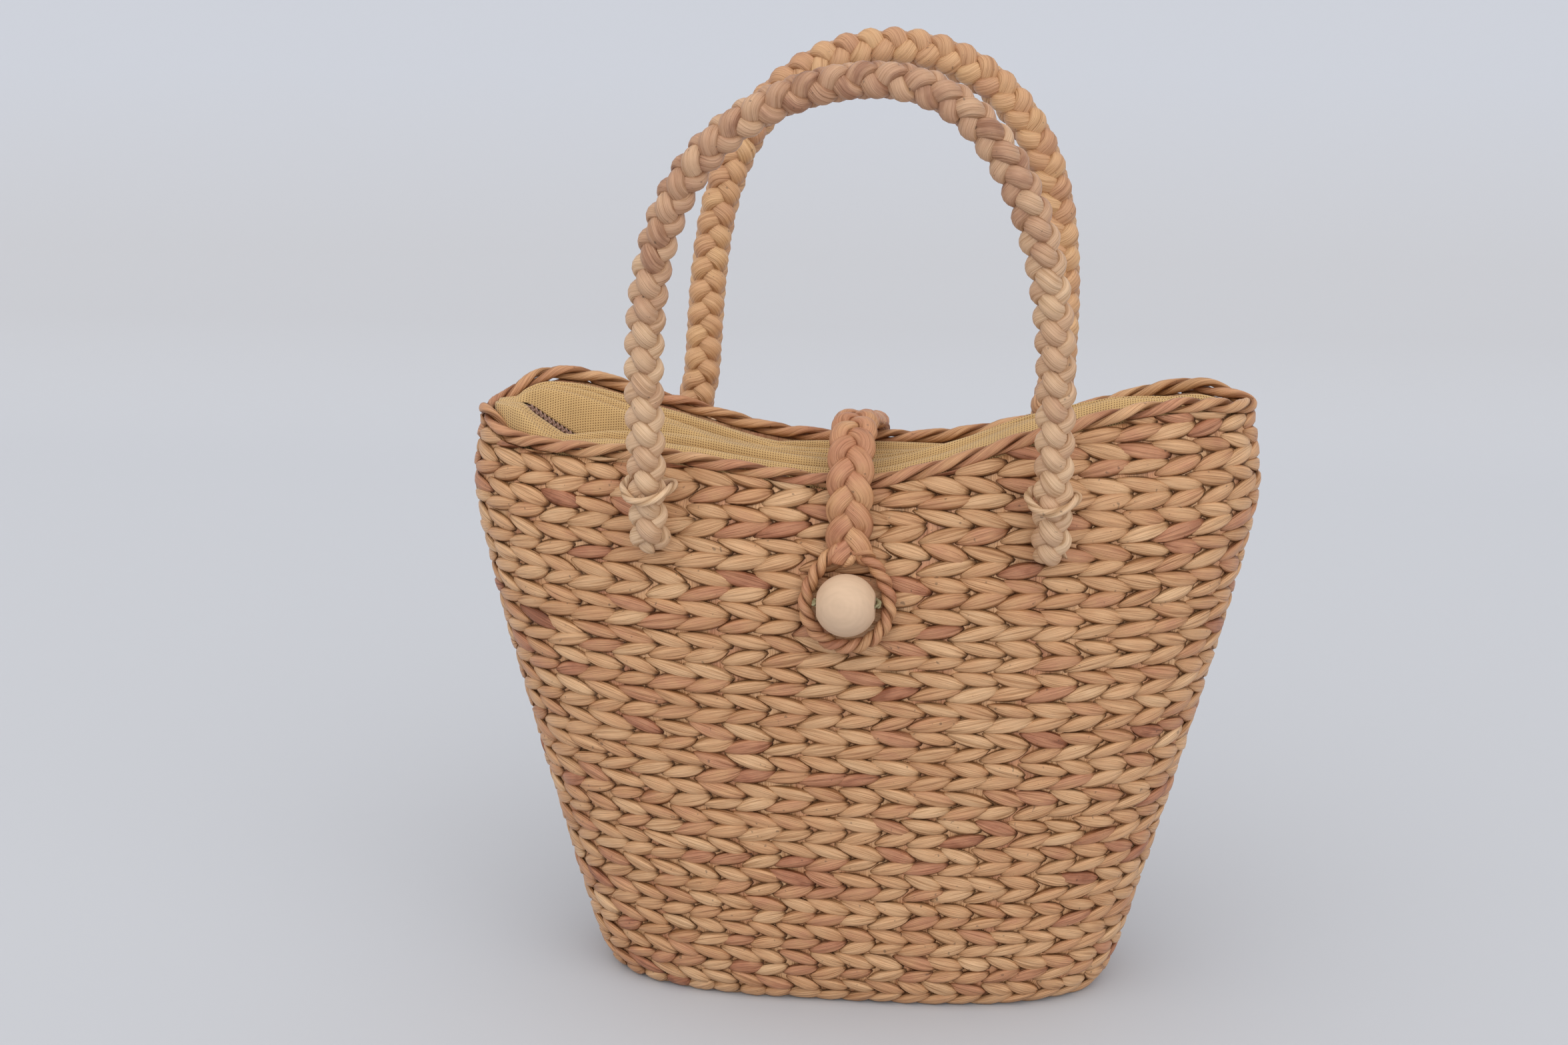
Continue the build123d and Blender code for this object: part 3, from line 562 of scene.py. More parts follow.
def on_wall(around, up, out):
    """Points on the wall, moved outwards."""
    around, up = np.asarray(around, float), np.asarray(up, float)
    return lookup(SURFACE, around, up) + unit(lookup(OUTWARD, around, up)) * np.asarray(out)[:, None]


rim_range = [round(float(value), 3) for value in (rim_line.min(), rim_line.max())]
print("wall surface", SURFACE.shape, "rim from and to", rim_range)


# %% [markdown]
# ## Twined stitches
# In twining, pairs of flattened leaves wrap each upright stake. Each wrap shows as a plump leaf shape
# whose two ends dive behind its neighbours. The slant changes from row to row, so the rows read as arrows
# that point to the right. The rows are level, so the high ends of the wall have more of them, and the top
# ones end under the rope. One leaf pad is modelled from a grid. Every stitch is a copy of it, laid on the
# wall with its own size, tilt and tint, because no two leaves are alike.

# %% One leaf pad
STAKES, ROWS, TOP_ROWS = 46, 35, 5
SLANT, OVERLAP = 0.65, 0.45 * MM
LEAF_LENGTH, LEAF_CLIMB, LEAF_WIDTH, LEAF_SKEW = 0.71, 0.42, 0.49, 0.12
LEAF_SHARES = ((0, 0.1), (0.1, 0.36), (0.28, 0.78), (0.52, 1.0), (0.75, 0.88), (0.9, 0.54), (1, 0.2))
LEAF_HALF_LENGTH, LEAF_HALF_WIDTH = 10.5 * MM, 3.6 * MM
STAINED, BROWNER = 0.02, 0.28

pad, pad_u, pad_v = add_grid("leaf_pad", 8, 5)
pad_faces = [tuple(face.vertices) for face in pad.data.polygons]
along, over = pad_u * 2 - 1, pad_v * 2 - 1
breadth = read(LEAF_SHARES, pad_u)
plump = np.clip(np.sin(math.pi * pad_u ** 0.9), 0, 1) ** 0.6
PAD = np.stack([along, over * breadth, plump * np.clip(1 - np.abs(over) ** 3.4, 0, 1) ** 0.6, over], 1)
# Painted shade at the leaf's ends and edges, where it tucks under its neighbours.
PAD_TUCK_SHADE = np.maximum(np.abs(along) ** 4, 0.8 * np.abs(over) ** 5)
edge_loop = sorted(
    np.flatnonzero((np.abs(along) > 0.999) | (np.abs(over) > 0.999)),
    key=lambda k: math.atan2(over[k], along[k]),
)
pad_faces.append(tuple(int(k) for k in reversed(edge_loop)))
bpy.data.objects.remove(pad)
print("leaf pad points", len(PAD), "faces", len(pad_faces))


# %% How stitches are laid
def leaf_tints(stake, row):
    """A tint for each leaf: a few are stained dark, and about a quarter are browner than the rest."""
    tint = 0.34 + rng.normal(0, 0.12, len(row)) + 0.06 * np.sin(stake * 1.9 + row * 2.7)
    odd = rng.random(len(row))
    return np.where(odd < STAINED, 0.88, np.where(odd < BROWNER, tint + 0.28, tint))


def lay_stitches(name, surface, rows, crest, dip, material, rows_at=None):
    """One mesh of leaf pads over a surface, given in stakes round and rows up.

    Crest and dip are how far a leaf stands out in the middle and goes in at its ends. Leaves above the
    number of rows that rows_at gives for a place are left out.
    """
    count = STAKES * rows
    row = np.repeat(np.arange(rows), STAKES)
    stake = np.tile(np.arange(STAKES), rows).astype(float)
    rising = np.where(row % 2 == 0, 1.0, -1.0)
    wave = rng.normal(0, 0.05, rows)[row]
    middle = stake + 0.5 + SLANT / 2 + rng.normal(0, 0.04, count) + wave
    height = row + 0.5 + rng.normal(0, 0.035, count)
    length = LEAF_LENGTH * rng.uniform(0.88, 1.16, count)
    climb = LEAF_CLIMB * rng.uniform(0.7, 1.25, count)
    width = LEAF_WIDTH * rng.uniform(0.86, 1.16, count)
    lift = crest * rng.uniform(0.8, 1.25, count)
    bow = rng.normal(0, 0.04, count)
    roll = rng.normal(0, 0.2, count)
    tint = leaf_tints(stake, row)
    shift_u, shift_v = rng.uniform(0, 9, (2, count))
    along, over, plump, across = (PAD[:, k][None] for k in range(4))
    at = middle[:, None] + along * length[:, None] - over * (LEAF_SKEW * rising)[:, None]
    up = height[:, None] + along * (climb * rising)[:, None] + over * width[:, None]
    up = up + bow[:, None] * (1 - along ** 2)
    out = -dip * (0.4 + 0.6 * np.abs(along) ** 4)
    out = out + plump * (lift[:, None] + 0.4 * dip) * (1 + roll[:, None] * across) + OVERLAP * along
    kept = np.ones(count, bool) if rows_at is None else height < rows_at(middle / STAKES) + 0.35
    size, total = len(PAD), int(kept.sum())
    points = surface(at[kept].ravel() / STAKES, up[kept].ravel(), out[kept].ravel())
    faces = [tuple(k + n * size for k in face) for n in range(total) for face in pad_faces]
    mesh = bpy.data.meshes.new(name)
    mesh.from_pydata(points, [], faces)
    mesh.uv_layers.new(name="UVMap")
    piece = bpy.data.objects.new(name, mesh)
    bpy.context.collection.objects.link(piece)
    set_uv(
        piece,
        (along * LEAF_HALF_LENGTH + shift_u[kept][:, None]).ravel(),
        (across * LEAF_HALF_WIDTH + shift_v[kept][:, None]).ravel(),
    )
    set_value(piece, "tint", np.repeat(np.clip(tint[kept], 0.02, 1), size))
    # Painted shade at the ends and edges of each leaf.
    set_value(piece, "tuck_shade", np.tile(PAD_TUCK_SHADE, total))
    mesh.materials.append(material)
    mesh.polygons.foreach_set("use_smooth", np.ones(len(mesh.polygons), bool))
    return piece


# %% Stitches of the wall
WALL_CREST, WALL_DIP, FLOOR_GAP = 1.25 * MM, 0.9 * MM, 0.4 * MM


def rows_below_rim(around):
    """Rows that fit under the rim there: it rises at the ends, and the rows stay level."""
    return lookup(SURFACE, around, np.ones(len(around)))[:, 2] / RIM_MID * ROWS


def wall_rows(around, row, out):
    """Points on the wall at level rows: Newton steps find the share up the wall that lies at each row."""
    level = row / ROWS
    rise = rows_below_rim(around) / ROWS - 1
    up = level.copy()
    for _ in range(8):
        slope = 1 + RIM_POWER * rise * up ** (RIM_POWER - 1)
        up = up - (up + rise * up ** RIM_POWER - level) / np.maximum(slope, 0.2)
    points = on_wall(around, up, out)
    points[:, 2] = np.maximum(points[:, 2], FLOOR_GAP)
    return points


stitches = lay_stitches(
    "woven_wall", wall_rows, ROWS + TOP_ROWS, WALL_CREST, WALL_DIP, WEAVE, rows_at=rows_below_rim,
)
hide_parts("woven_body")
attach(stitches, "bag")
print("woven wall triangles", triangles(stitches))


# %% [markdown]
# ## Stakes and base
# Behind the stitches run the upright stakes, seen only in the small gaps. They are one ribbed sheet with
# thickness. The base is twined too: rows that close in to a short line in the middle.

# %% Stakes behind the stitches
STAKE_IN, STAKE_RIB, STAKE_THICK = 1.5 * MM, 0.9 * MM, 1.2 * MM
stakes, u, v = add_grid("upright_stakes", STAKES * 4, 60)
rib = np.abs(np.sin(math.pi * (u * STAKES + 0.2)))
set_points(stakes, on_wall(u, 0.004 + v * 0.994, -STAKE_IN + STAKE_RIB * rib))
set_uv(stakes, v * 0.23, u * 0.7)
set_value(stakes, "tint", 0.5 + 0.2 * np.sin(np.floor(u * STAKES) * 2.3))
close_up(stakes)
thicken(stakes, STAKE_THICK, offset=-1)
stakes.data.materials.append(STAKE)
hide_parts("woven_body")
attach(stakes, "bag")
print("stakes triangles", triangles(stakes))


# %% Woven base
BASE_ROWS, SPINE_HALF = 7, 0.064
BASE_Z, BASE_STAKE_Z = 1.7 * MM, 2.4 * MM
BASE_CREST, BASE_DIP = 1.5 * MM, 0.8 * MM


def base_spine(edge):
    """Places on the short line in the middle of the base, each across from a place on its edge."""
    spine = np.zeros((len(edge), 3))
    spine[:, 0] = np.clip(edge[:, 0], -SPINE_HALF, SPINE_HALF)
    return spine


def base_rows(around, row, out):
    start = lookup(SURFACE, np.asarray(around), np.zeros(len(out)))
    inward = np.clip((row - 0.2) / BASE_ROWS, -0.02, 1)[:, None]
    points = start * (1 - inward) + base_spine(start) * inward
    points[:, 2] = BASE_Z - out
    return points


base = lay_stitches("woven_base", base_rows, BASE_ROWS, BASE_CREST, BASE_DIP, WEAVE)
base.data.flip_normals()
floor_sheet, u, v = add_grid("base_stakes", STAKES * 2, 8)
edge = lookup(SURFACE, u, np.zeros(len(u)))
points = edge * v[:, None] + base_spine(edge) * (1 - v)[:, None]
points[:, 2] = BASE_STAKE_Z
set_points(floor_sheet, points)
set_uv(floor_sheet, v * 0.05, u * 0.7)
set_value(floor_sheet, "tint", np.full(len(u), 0.6))
close_up(floor_sheet)
floor_sheet.data.materials.append(STAKE)
base = join("woven_base", [base, floor_sheet])
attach(base, "bag")
print("base triangles", triangles(base))


# %% [markdown]
# ## Rim rope
# Two leaf strands are laid round each other along the top edge. Each one is a strand on a long helix
# about the rim line. The strands change tone along their length, as pieced leaves do.

# %% Rim strands
RIM_STEPS, RIM_TURNS = 1600, 20
ROPE_INSET, ROPE_LIFT = 1.5 * MM, 3.0 * MM
ROPE_APART, ROPE_WIDE, ROPE_THICK = 1.6 * MM, 2.2 * MM, 1.6 * MM

around = np.linspace(0, 1, RIM_STEPS + 1)
at_top = np.ones(RIM_STEPS + 1)
line = on_wall(around, at_top, np.full(RIM_STEPS + 1, -ROPE_INSET))
line[:, 2] += ROPE_LIFT
outward = unit(lookup(OUTWARD, around, at_top) * [1, 1, 0])
strands = []
for k in range(2):
    turn = 2 * math.pi * RIM_TURNS * around + math.pi * k
    wobble = 1 + 0.12 * np.sin(around * 2 * math.pi * 31 + k)
    spoke = outward * np.cos(turn)[:, None] + np.array([0, 0, 1]) * np.sin(turn)[:, None]
    path = line + spoke * (ROPE_APART * wobble)[:, None]
    drift = wander(0.8, 0.03, 0.25, 0.8)
    strands.append(strand(
        f"rim_strand_{k}", path, ROPE_WIDE, ROPE_THICK, spoke, 700, 10, tint=drift, closed=True,
    ))
rope = join("rim_rope_strands", strands)
rope.data.materials.append(ROPE)
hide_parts("rim_rope")
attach(rope, "bag")
print("rim triangles", triangles(rope))


# %% [markdown]
# ## Braided handles
# Each handle is a round braid of four strands: two wind one way and two the other, over one and under
# one. A strand's distance from the middle rises where it lies on top and falls where it dives under. The
# braid turns a little about its line on the way round the arch, and its two ends tuck in towards the
# wall. The rear handle is more golden. The front one is pale, and browner near the top.

# %% Handle line
SPAN, FOOT, ARCH, TOP_DEPTH = 0.078, 0.200, 0.235, 0.084
FRONT, REAR = -1, 1
HANDLES = {
    FRONT: {"radius": 0.0075, "arch": 0.149, "power": 3.3, "lean": 0.010, "lean_power": 8},
    REAR: {"radius": 0.009, "arch": 0.1515, "power": 3.6, "lean": 0.0065, "lean_power": 0.35},
}
ARCH_STEPS, HANDLE_STEPS = 600, 1200


def handle_line(side):
    """Middle line of a handle from foot to foot, at even steps."""
    size = HANDLES[side]
    turn = np.linspace(0, math.pi, ARCH_STEPS + 1)
    up = np.clip(np.sin(turn), 0, 1) ** (2 / size["power"])
    x = np.concatenate([[SPAN], SPAN * np.cos(turn) + size["lean"] * up ** size["lean_power"], [-SPAN]])
    z = np.concatenate([[FOOT], ARCH + size["arch"] * up, [FOOT]])
    low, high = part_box("handle_front" if side == FRONT else "handle_rear")
    foot = (abs(high.y) if side == FRONT else abs(low.y)) + size["radius"]
    y = side * (foot + (TOP_DEPTH - foot) * (z - FOOT) / (ARCH + size["arch"] - FOOT))
    return even_line(np.stack([x, y, z], 1), HANDLE_STEPS)


print("handle lengths", [round(float(handle_line(side)[1][-1]), 3) for side in HANDLES])


# %% Round braid
LOBE, TUCK_LENGTH, TUCK_IN, TUCK_SPREAD = 9.9 * MM, 14 * MM, 8.5 * MM, 0.3
SWAY, CORE_SHARE, LIFT_SHARE = 0.27, 0.46, 0.2
WIDE_SHARE, THICK_SHARE, BROWNEST = 0.5, 0.38, 0.92


def braid_handle(name, side, material, low, high, turns, top_tint):
    """Round braid that turns by degrees at the right leg, the top and the left leg."""
    line, run = handle_line(side)
    size = HANDLES[side]["radius"]
    ahead = unit(np.gradient(line, axis=0))
    lean = unit(np.array([0, np.ptp(line[:, 2]), line[0, 1] - side * TOP_DEPTH]))
    across = unit(np.cross(np.tile(lean, (len(line), 1)), ahead))
    lean = np.cross(ahead, across)
    twist = np.radians(np.interp(run / run[-1], [0.2, 0.5, 0.8], turns))
    tuck = np.clip(1 - np.minimum(run, run[-1] - run) / TUCK_LENGTH, 0, 1) ** 2
    line = line - np.array([0, side * TUCK_IN, 0]) * tuck[:, None]
    spread = 1 + TUCK_SPREAD * tuck
    made = []
    for way in (1, -1):
        for k in range(2):
            wind = way * math.pi * run / LOBE + math.pi * k
            lift = np.cos(2 * wind) * way
            angle = wind - way * SWAY * np.sin(2 * wind) + twist
            spoke = across * np.cos(angle)[:, None] + lean * np.sin(angle)[:, None]
            path = line + spoke * (size * spread * (CORE_SHARE + LIFT_SHARE * lift))[:, None]

            def tint(at, drift=wander(1.4, 0.02, low, high)):
                return np.minimum(drift(at) + top_tint * np.sin(math.pi * at / at.max()) ** 2, BROWNEST)

            made.append(strand(
                f"{name}_{way}_{k}", path, WIDE_SHARE * size, THICK_SHARE * size, spoke, 760, 12,
                taper=10, tint=tint,
            ))
    handle = join(name, made)
    handle.data.materials.append(material)
    return handle


front = braid_handle("front_handle_braid", FRONT, PALE_BRAID, 0.1, 0.65, (-9, 60, -6), 0.48)
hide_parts("handle_front")
rear = braid_handle("rear_handle_braid", REAR, GOLD_BRAID, 0.0, 0.6, (-45, -30, -51), 0.1)
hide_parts("handle_rear")
for handle in (front, rear):
    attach(handle, "bag")
print("handle triangles", triangles(front), triangles(rear))


# %% [markdown]
# ## Ties
# A thin twisted cord goes once round each leg and holds it to the wall. It follows the CAD ring: two soft
# plies with a slow twist, on a loop that is not quite level.

# %% Twisted ties
TIE_PLY, TIE_APART, TIE_LAY, TIE_EDGE = 1.25 * MM, 0.55 * MM, 24 * MM, 1.5 * MM
TIE_WAVE, TIE_TILT = 1.4 * MM, 1.2 * MM


def twisted(name, line, ply, apart, lay, material, steps, tones, closed=False):
    """Two plies laid round each other along a line; lay is the length of one full twist."""
    line, even = even_line(np.asarray(line), steps * 2)
    length = even[-1]
    ahead = unit(np.gradient(line, axis=0))
    if closed:
        ahead[0] = ahead[-1] = unit(ahead[0] + ahead[-1])
    lift = np.tile([0.0, 0.0, 1.0], (len(line), 1))
    if abs(ahead[:, 2]).max() > 0.8:
        lift = np.tile([0.0, -1.0, 0.0], (len(line), 1))
    side = unit(np.cross(ahead, lift))
    lift = np.cross(side, ahead)
    turns = round(length / lay) if closed else length / lay
    made = []
    for k in range(2):
        turn = 2 * math.pi * turns * even / length + math.pi * k
        spoke = side * np.cos(turn)[:, None] + lift * np.sin(turn)[:, None]
        path = line + spoke * apart
        drift = wander(length * 1.4, 0.012, *tones)
        made.append(strand(f"{name}_{k}", path, ply * 1.1, ply, spoke, steps, 8, tint=drift, closed=closed))
    piece = join(name, made)
    piece.data.materials.append(material)
    return piece


ties = []
for side in ("front", "rear"):
    for end in ("left", "right"):
        low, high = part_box(f"handle_tie_{side}_{end}")
        middle = (np.array(low) + np.array(high)) / 2
        reach = (np.array(high) - np.array(low)) / 2 - TIE_EDGE
        turn = np.linspace(0, 2 * math.pi, 121)
        ring = middle + np.stack([
            reach[0] * np.cos(turn), reach[1] * np.sin(turn),
            TIE_WAVE * np.cos(turn * 2 + 0.6) + TIE_TILT * np.sin(turn),
        ], 1)
        tie = twisted(
            f"{side}_{end}_tie", ring, TIE_PLY, TIE_APART, TIE_LAY, PALE_BRAID, 110, (0.0, 0.4),
            closed=True,
        )
        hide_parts(f"handle_tie_{side}_{end}")
        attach(tie, "bag")
        ties.append(tie)
print("ties", len(ties))


# %% [markdown]
# ## Closing strap
# The strap is a flat braid of three strands: each strand swings from side to side and passes over and
# under in turn. Below the braid it parts into two legs of a twisted loop that goes round the bead. The
# braid crosses the hinge at the front rim.

# %% Strap line
hinge = next(joint for joint in frame["joints"] if joint["name"] == "strap_lift")
HINGE = np.array(hinge["pos_m"])
low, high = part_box("strap_anchor")
bead_low, bead_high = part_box("wooden_bead")
BEAD = (np.array(bead_low) + np.array(bead_high)) / 2
flap_way = unit(np.array([0, -10.0, -52.4]))
top, rear_top = HINGE[2], HINGE[2] - 0.0037


def down_flap(length):
    """Depth and height at a length from the hinge along the flap."""
    return HINGE[1] + flap_way[1] * length, HINGE[2] + flap_way[2] * length


# The route's depth and height: up the back wall, over the rear rim and the mouth, then over the front rim.
route = [
    (high.y - 2.6 * MM, low.z + 0.002), (high.y - 2.8 * MM, 0.200), (high.y - 4.6 * MM, 0.212),
    (0.0550, rear_top - 0.009), (0.0543, rear_top - 0.003), (0.0500, rear_top + 0.001),
    (0.0400, rear_top + 0.0022), (0.0200, rear_top + 0.007), (0.0, rear_top + 0.0115),
    (-0.0180, top + 0.0125), (-0.0300, top + 0.0135), (-0.0410, top + 0.0115), (-0.0500, top + 0.0062),
    (-0.0555, top - 0.001), (-0.0575, top - 0.0095), down_flap(0.02), down_flap(0.03), down_flap(0.037),
]
strap_curve = bpy.data.curves.new("strap_route", "CURVE")
strap_curve.dimensions = "3D"
spline = strap_curve.splines.new("NURBS")
spline.points.add(len(route) - 1)
for point, (y, z) in zip(spline.points, route):
    point.co = (0, y, z, 1)
spline.order_u = 3
spline.use_endpoint_u = True
strap_curve.resolution_u = 16
holder = bpy.data.objects.new("strap_route", strap_curve)
bpy.context.collection.objects.link(holder)
bpy.context.view_layer.update()
routed = bpy.data.meshes.new_from_object(holder.evaluated_get(bpy.context.evaluated_depsgraph_get()))
strap_line = np.array([v.co for v in routed.vertices])
bpy.data.objects.remove(holder)
bpy.data.curves.remove(strap_curve)
print("strap line points", len(strap_line))


# %% Flat braid
STRANDS, PERIOD, SWING, RISE = 3, 32 * MM, 5.7 * MM, 1.5 * MM
STRAND_WIDE, STRAND_THICK = 3.9 * MM, 2.1 * MM


def flat_braid(name, line):
    line, even = even_line(line, 900)
    ahead = unit(np.gradient(line, axis=0))
    side = np.tile([1.0, 0.0, 0.0], (len(line), 1))
    face = np.cross(ahead, side)
    made = []
    for k in range(STRANDS):
        turn = 2 * math.pi * (even / PERIOD + k / STRANDS)
        path = line + side * (SWING * np.sin(turn))[:, None] + face * (RISE * np.sin(2 * turn))[:, None]
        tilt = face + side * (0.35 * np.sin(turn))[:, None]
        drift = wander(0.5, 0.015, 0.45, 0.9)
        made.append(strand(
            f"{name}_{k}", path, STRAND_WIDE, STRAND_THICK, tilt, 420, 12, tint=drift, flat=True,
        ))
    return made


braid = flat_braid("strap_strand", strap_line)
print("strap strands", len(braid))


# %% Twisted loop
LOOP_HALF, LOOP_NECK, LOOP_OPEN = 16.4 * MM, 6.0 * MM, 0.08
LOOP_PLY, LOOP_APART, LOOP_LAY = 1.75 * MM, 1.35 * MM, 12.5 * MM
reach = float(np.linalg.norm(BEAD[1:] - HINGE[1:]))
turn = np.linspace(LOOP_OPEN, 2 * math.pi - LOOP_OPEN, 161)
neck = LOOP_NECK * np.clip(np.cos(turn), 0, 1) ** 2
loop_line = np.stack([LOOP_HALF * np.sin(turn), *down_flap(reach - (LOOP_HALF + neck) * np.cos(turn))], 1)
loop = twisted("strap_loop", loop_line, LOOP_PLY, LOOP_APART, LOOP_LAY, STRAP, 420, (0.45, 0.9))
strap = join("closing_strap", [*braid, loop])
strap.data.materials.clear()
strap.data.materials.append(STRAP)
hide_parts("strap_anchor", "strap_flap")
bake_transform(strap)
print("strap triangles", triangles(strap))


# %% [markdown]
# ## Wooden bead
# The bead is turned from pale wood: a round with two small flats and a bore. Its profile is rolled once
# round the bore, so that it is one closed skin, inside and out. Fine grain and very faint rings colour
# it. A thin twisted cord passes through it and into the wall.

# %% Bead
BEAD_R, FLAT, BORE, BEAD_SIDES = 12.2 * MM, 11.2 * MM, 1.4 * MM, 56
tilt = math.acos(FLAT / BEAD_R)
arc = np.linspace(tilt, math.pi - tilt, 41)
mouth = [(FLAT * 0.6, BORE), (FLAT - 0.5 * MM, BORE), (FLAT - 0.1 * MM, BORE + 0.4 * MM)]
profile = [(-x, radius) for x, radius in mouth]
profile += [(-BEAD_R * math.cos(angle), BEAD_R * math.sin(angle)) for angle in arc]
profile += [*reversed(mouth), profile[0]]
profile = np.array(profile)
bead, u, v = add_grid("turned_bead", len(profile) - 1, BEAD_SIDES)
along, radius = profile[np.rint(u * (len(profile) - 1)).astype(int)].T
angle = 2 * math.pi * np.rint(v * BEAD_SIDES) / BEAD_SIDES
set_points(bead, BEAD + np.stack([along, radius * np.cos(angle), radius * np.sin(angle)], 1))
close_up(bead)
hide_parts("wooden_bead")
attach(bead, "bead")
print("bead triangles", triangles(bead))


# %% Bead wood
wood, tree, shader = new_material("pale_bead_wood")
where = coordinates(tree, "Object")
stretch = node(tree, "ShaderNodeMapping", {"Vector": where, "Scale": (120, 700, 260)})
grain = noise(tree, stretch.outputs[0], 1.0, 4.0)
heart = tuple(-BEAD + [0.002, 0, -0.003])
rings = node(tree, "ShaderNodeMapping", {"Vector": where, "Location": heart})
growth = node(
    tree, "ShaderNodeTexWave",
    {"Vector": rings.outputs[0], "Scale": 130.0, "Distortion": 1.2, "Detail": 2.0},
    wave_type="RINGS", rings_direction="Y",
)
colour = ramp(tree, growth.outputs["Fac"], ((0.0, tone(206, 176, 148)), (1.0, tone(208, 178, 150))))
fine = ramp(tree, grain, ((0.3, grey(0.93)), (0.6, grey(1.0))))
feed(tree, shader, {
    "Base Color": multiply(tree, colour, fine), "Normal": bump(tree, grain, 0.15, 0.2 * MM),
    "Roughness": 0.6,
})
bead.data.materials.append(wood)
print("bead material", wood.name)


# %% Bead cord
CORD_PLY, CORD_APART, CORD_LAY = 0.5 * MM, 0.45 * MM, 4 * MM
low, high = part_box("bead_cord")
pole = high.x - 1.0 * MM
leg = [(9 * MM, high.y), (pole, BEAD[1] + BEAD_R * 0.43), (pole, BEAD[1])]
route = [(x, y, BEAD[2]) for x, y in leg] + [(-x, y, BEAD[2]) for x, y in reversed(leg)]
cord = twisted("bead_cord_plies", route, CORD_PLY, CORD_APART, CORD_LAY, CORD, 160, (0.0, 0.3))
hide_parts("bead_cord")
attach(cord, "bag")
print("cord triangles", triangles(cord))


# %% [markdown]
# ## Lining
# The lining is a coarse, open, pale yellow cloth. The pouch follows the inside of the wall. Two panels
# rise from the rim over a fold and go down to the zip, with furrows that run along the mouth. The threads
# are drawn by two crossed waves on the cloth's own UV map, in metres, so they run along and across it. The
# panels carry a value for painted shade, which darkens the furrows.

# %% Cloth material
def cloth(name, light, shade, pitch):
    """Plain weave with threads one pitch apart."""
    material, tree, shader = new_material(name)
    uv = coordinates(tree, "UV")
    split = node(tree, "ShaderNodeSeparateXYZ", {"Vector": uv})
    wobble = noise(tree, uv, 160.0, 2.0, noise_dimensions="2D")
    threads = []
    for axis in ("X", "Y"):
        run = reckon(tree, "MULTIPLY", split.outputs[axis], 2 * math.pi / pitch)
        wave = reckon(tree, "SINE", reckon(tree, "MULTIPLY_ADD", wobble, 2.2, run))
        threads.append(node(tree, "ShaderNodeMapRange", {"Value": wave, "From Min": -1.0}).outputs[0])
    colour = ramp(tree, reckon(tree, "ADD", *threads), ((0.15, shade), (0.7, light), (1.0, light)))
    # Painted shade in the furrows of the top panels.
    shadow = ramp(tree, attribute(tree, "crease_shade"), ((0.0, grey(1.0)), (1.0, brown(0.66))))
    patch = noise(tree, uv, 60.0, 2.0, noise_dimensions="2D")
    uneven = ramp(tree, patch, ((0.3, grey(0.93)), (0.7, grey(1.03))))
    colour = multiply(tree, multiply(tree, colour, shadow), uneven)
    relief = bump(tree, reckon(tree, "MAXIMUM", *threads), 0.7, 0.3 * MM)
    feed(tree, shader, {"Base Color": colour, "Normal": relief, "Roughness": 0.85, "Sheen Weight": 0.15})
    return material


LINING = cloth("yellow_lining", tone(204, 168, 114), tone(116, 82, 44), 1.05 * MM)
TAPE = cloth("zip_tape_weave", tone(158, 124, 107), tone(118, 88, 76), 0.7 * MM)
print("cloth materials", LINING.name, TAPE.name)


# %% Pouch
CLOTH_THICK = 0.5 * MM
POUCH_INSET, POUCH_FLOOR = 4.9 * MM, 5.5 * MM
POUCH_LOW, POUCH_TALL, POUCH_SIDE = 0.03, 0.93, 0.8
POUCH_ROUND, POUCH_CUT = 0.66, 0.27


pouch, u, v = add_grid("lining_pouch_cloth", 120, 40)
height = POUCH_LOW + (1 - np.clip(v / POUCH_SIDE, 0, 1)) * POUCH_TALL
inward = np.clip((v - POUCH_SIDE) / (1 - POUCH_SIDE), 0, 1)[:, None]
points = on_wall(u, height, np.full(len(u), -POUCH_INSET))
points = points * (1 - inward) + np.array([0, 0, POUCH_FLOOR]) * inward
set_points(pouch, points)
set_uv(pouch, u * POUCH_ROUND, v * POUCH_CUT)
close_up(pouch)
thicken(pouch, CLOTH_THICK)
pouch.data.materials.append(LINING)
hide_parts("lining_pouch")
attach(pouch, "bag")


# %% Edges of the top panels
ZIP_Z, ZIP_STRAIGHT, ZIP_HALF, ZIP_RISE = 0.222, 0.100, 0.140, 0.022
INNER_STEPS, INNER_UP, INNER_INSET = 1200, 0.985, 4.6 * MM
count = INNER_STEPS + 1
INNER = on_wall(np.linspace(0, 1, count), np.full(count, INNER_UP), np.full(count, -INNER_INSET))


def zip_height(x):
    """The zip is straight in the middle and rises towards its ends."""
    beyond = np.clip((np.abs(x) - ZIP_STRAIGHT) / (ZIP_HALF - ZIP_STRAIGHT), 0, 1)
    return ZIP_Z + ZIP_RISE * beyond ** 1.4


def rim_edge(x, side):
    """Depth and height of the wall's inner edge on one side."""
    half = INNER[INNER[:, 1] * side > 0]
    across, depth, height = half[np.argsort(half[:, 0])].T
    return np.interp(x, across, depth), np.interp(x, across, height)


print("zip ends at", round(float(zip_height(ZIP_HALF)), 3), "and its middle is at", ZIP_Z)


# %% Top panels
PANEL_HALF, PANEL_ALONG, PANEL_ACROSS, PANEL_END = 0.1515, 200, 64, 0.05
RISE_SHARE, FALL_START = 0.3, 0.62
ZIP_SIDE, ZIP_COVER, FOLD_LEAST = 4.0 * MM, 1.2 * MM, 0.8 * MM
FURROWS = ((0.36, 3.4 * MM), (0.55, 4.4 * MM), (0.74, 3.0 * MM))
FURROW_WIDTH, RIPPLE = 0.055, 1.2 * MM


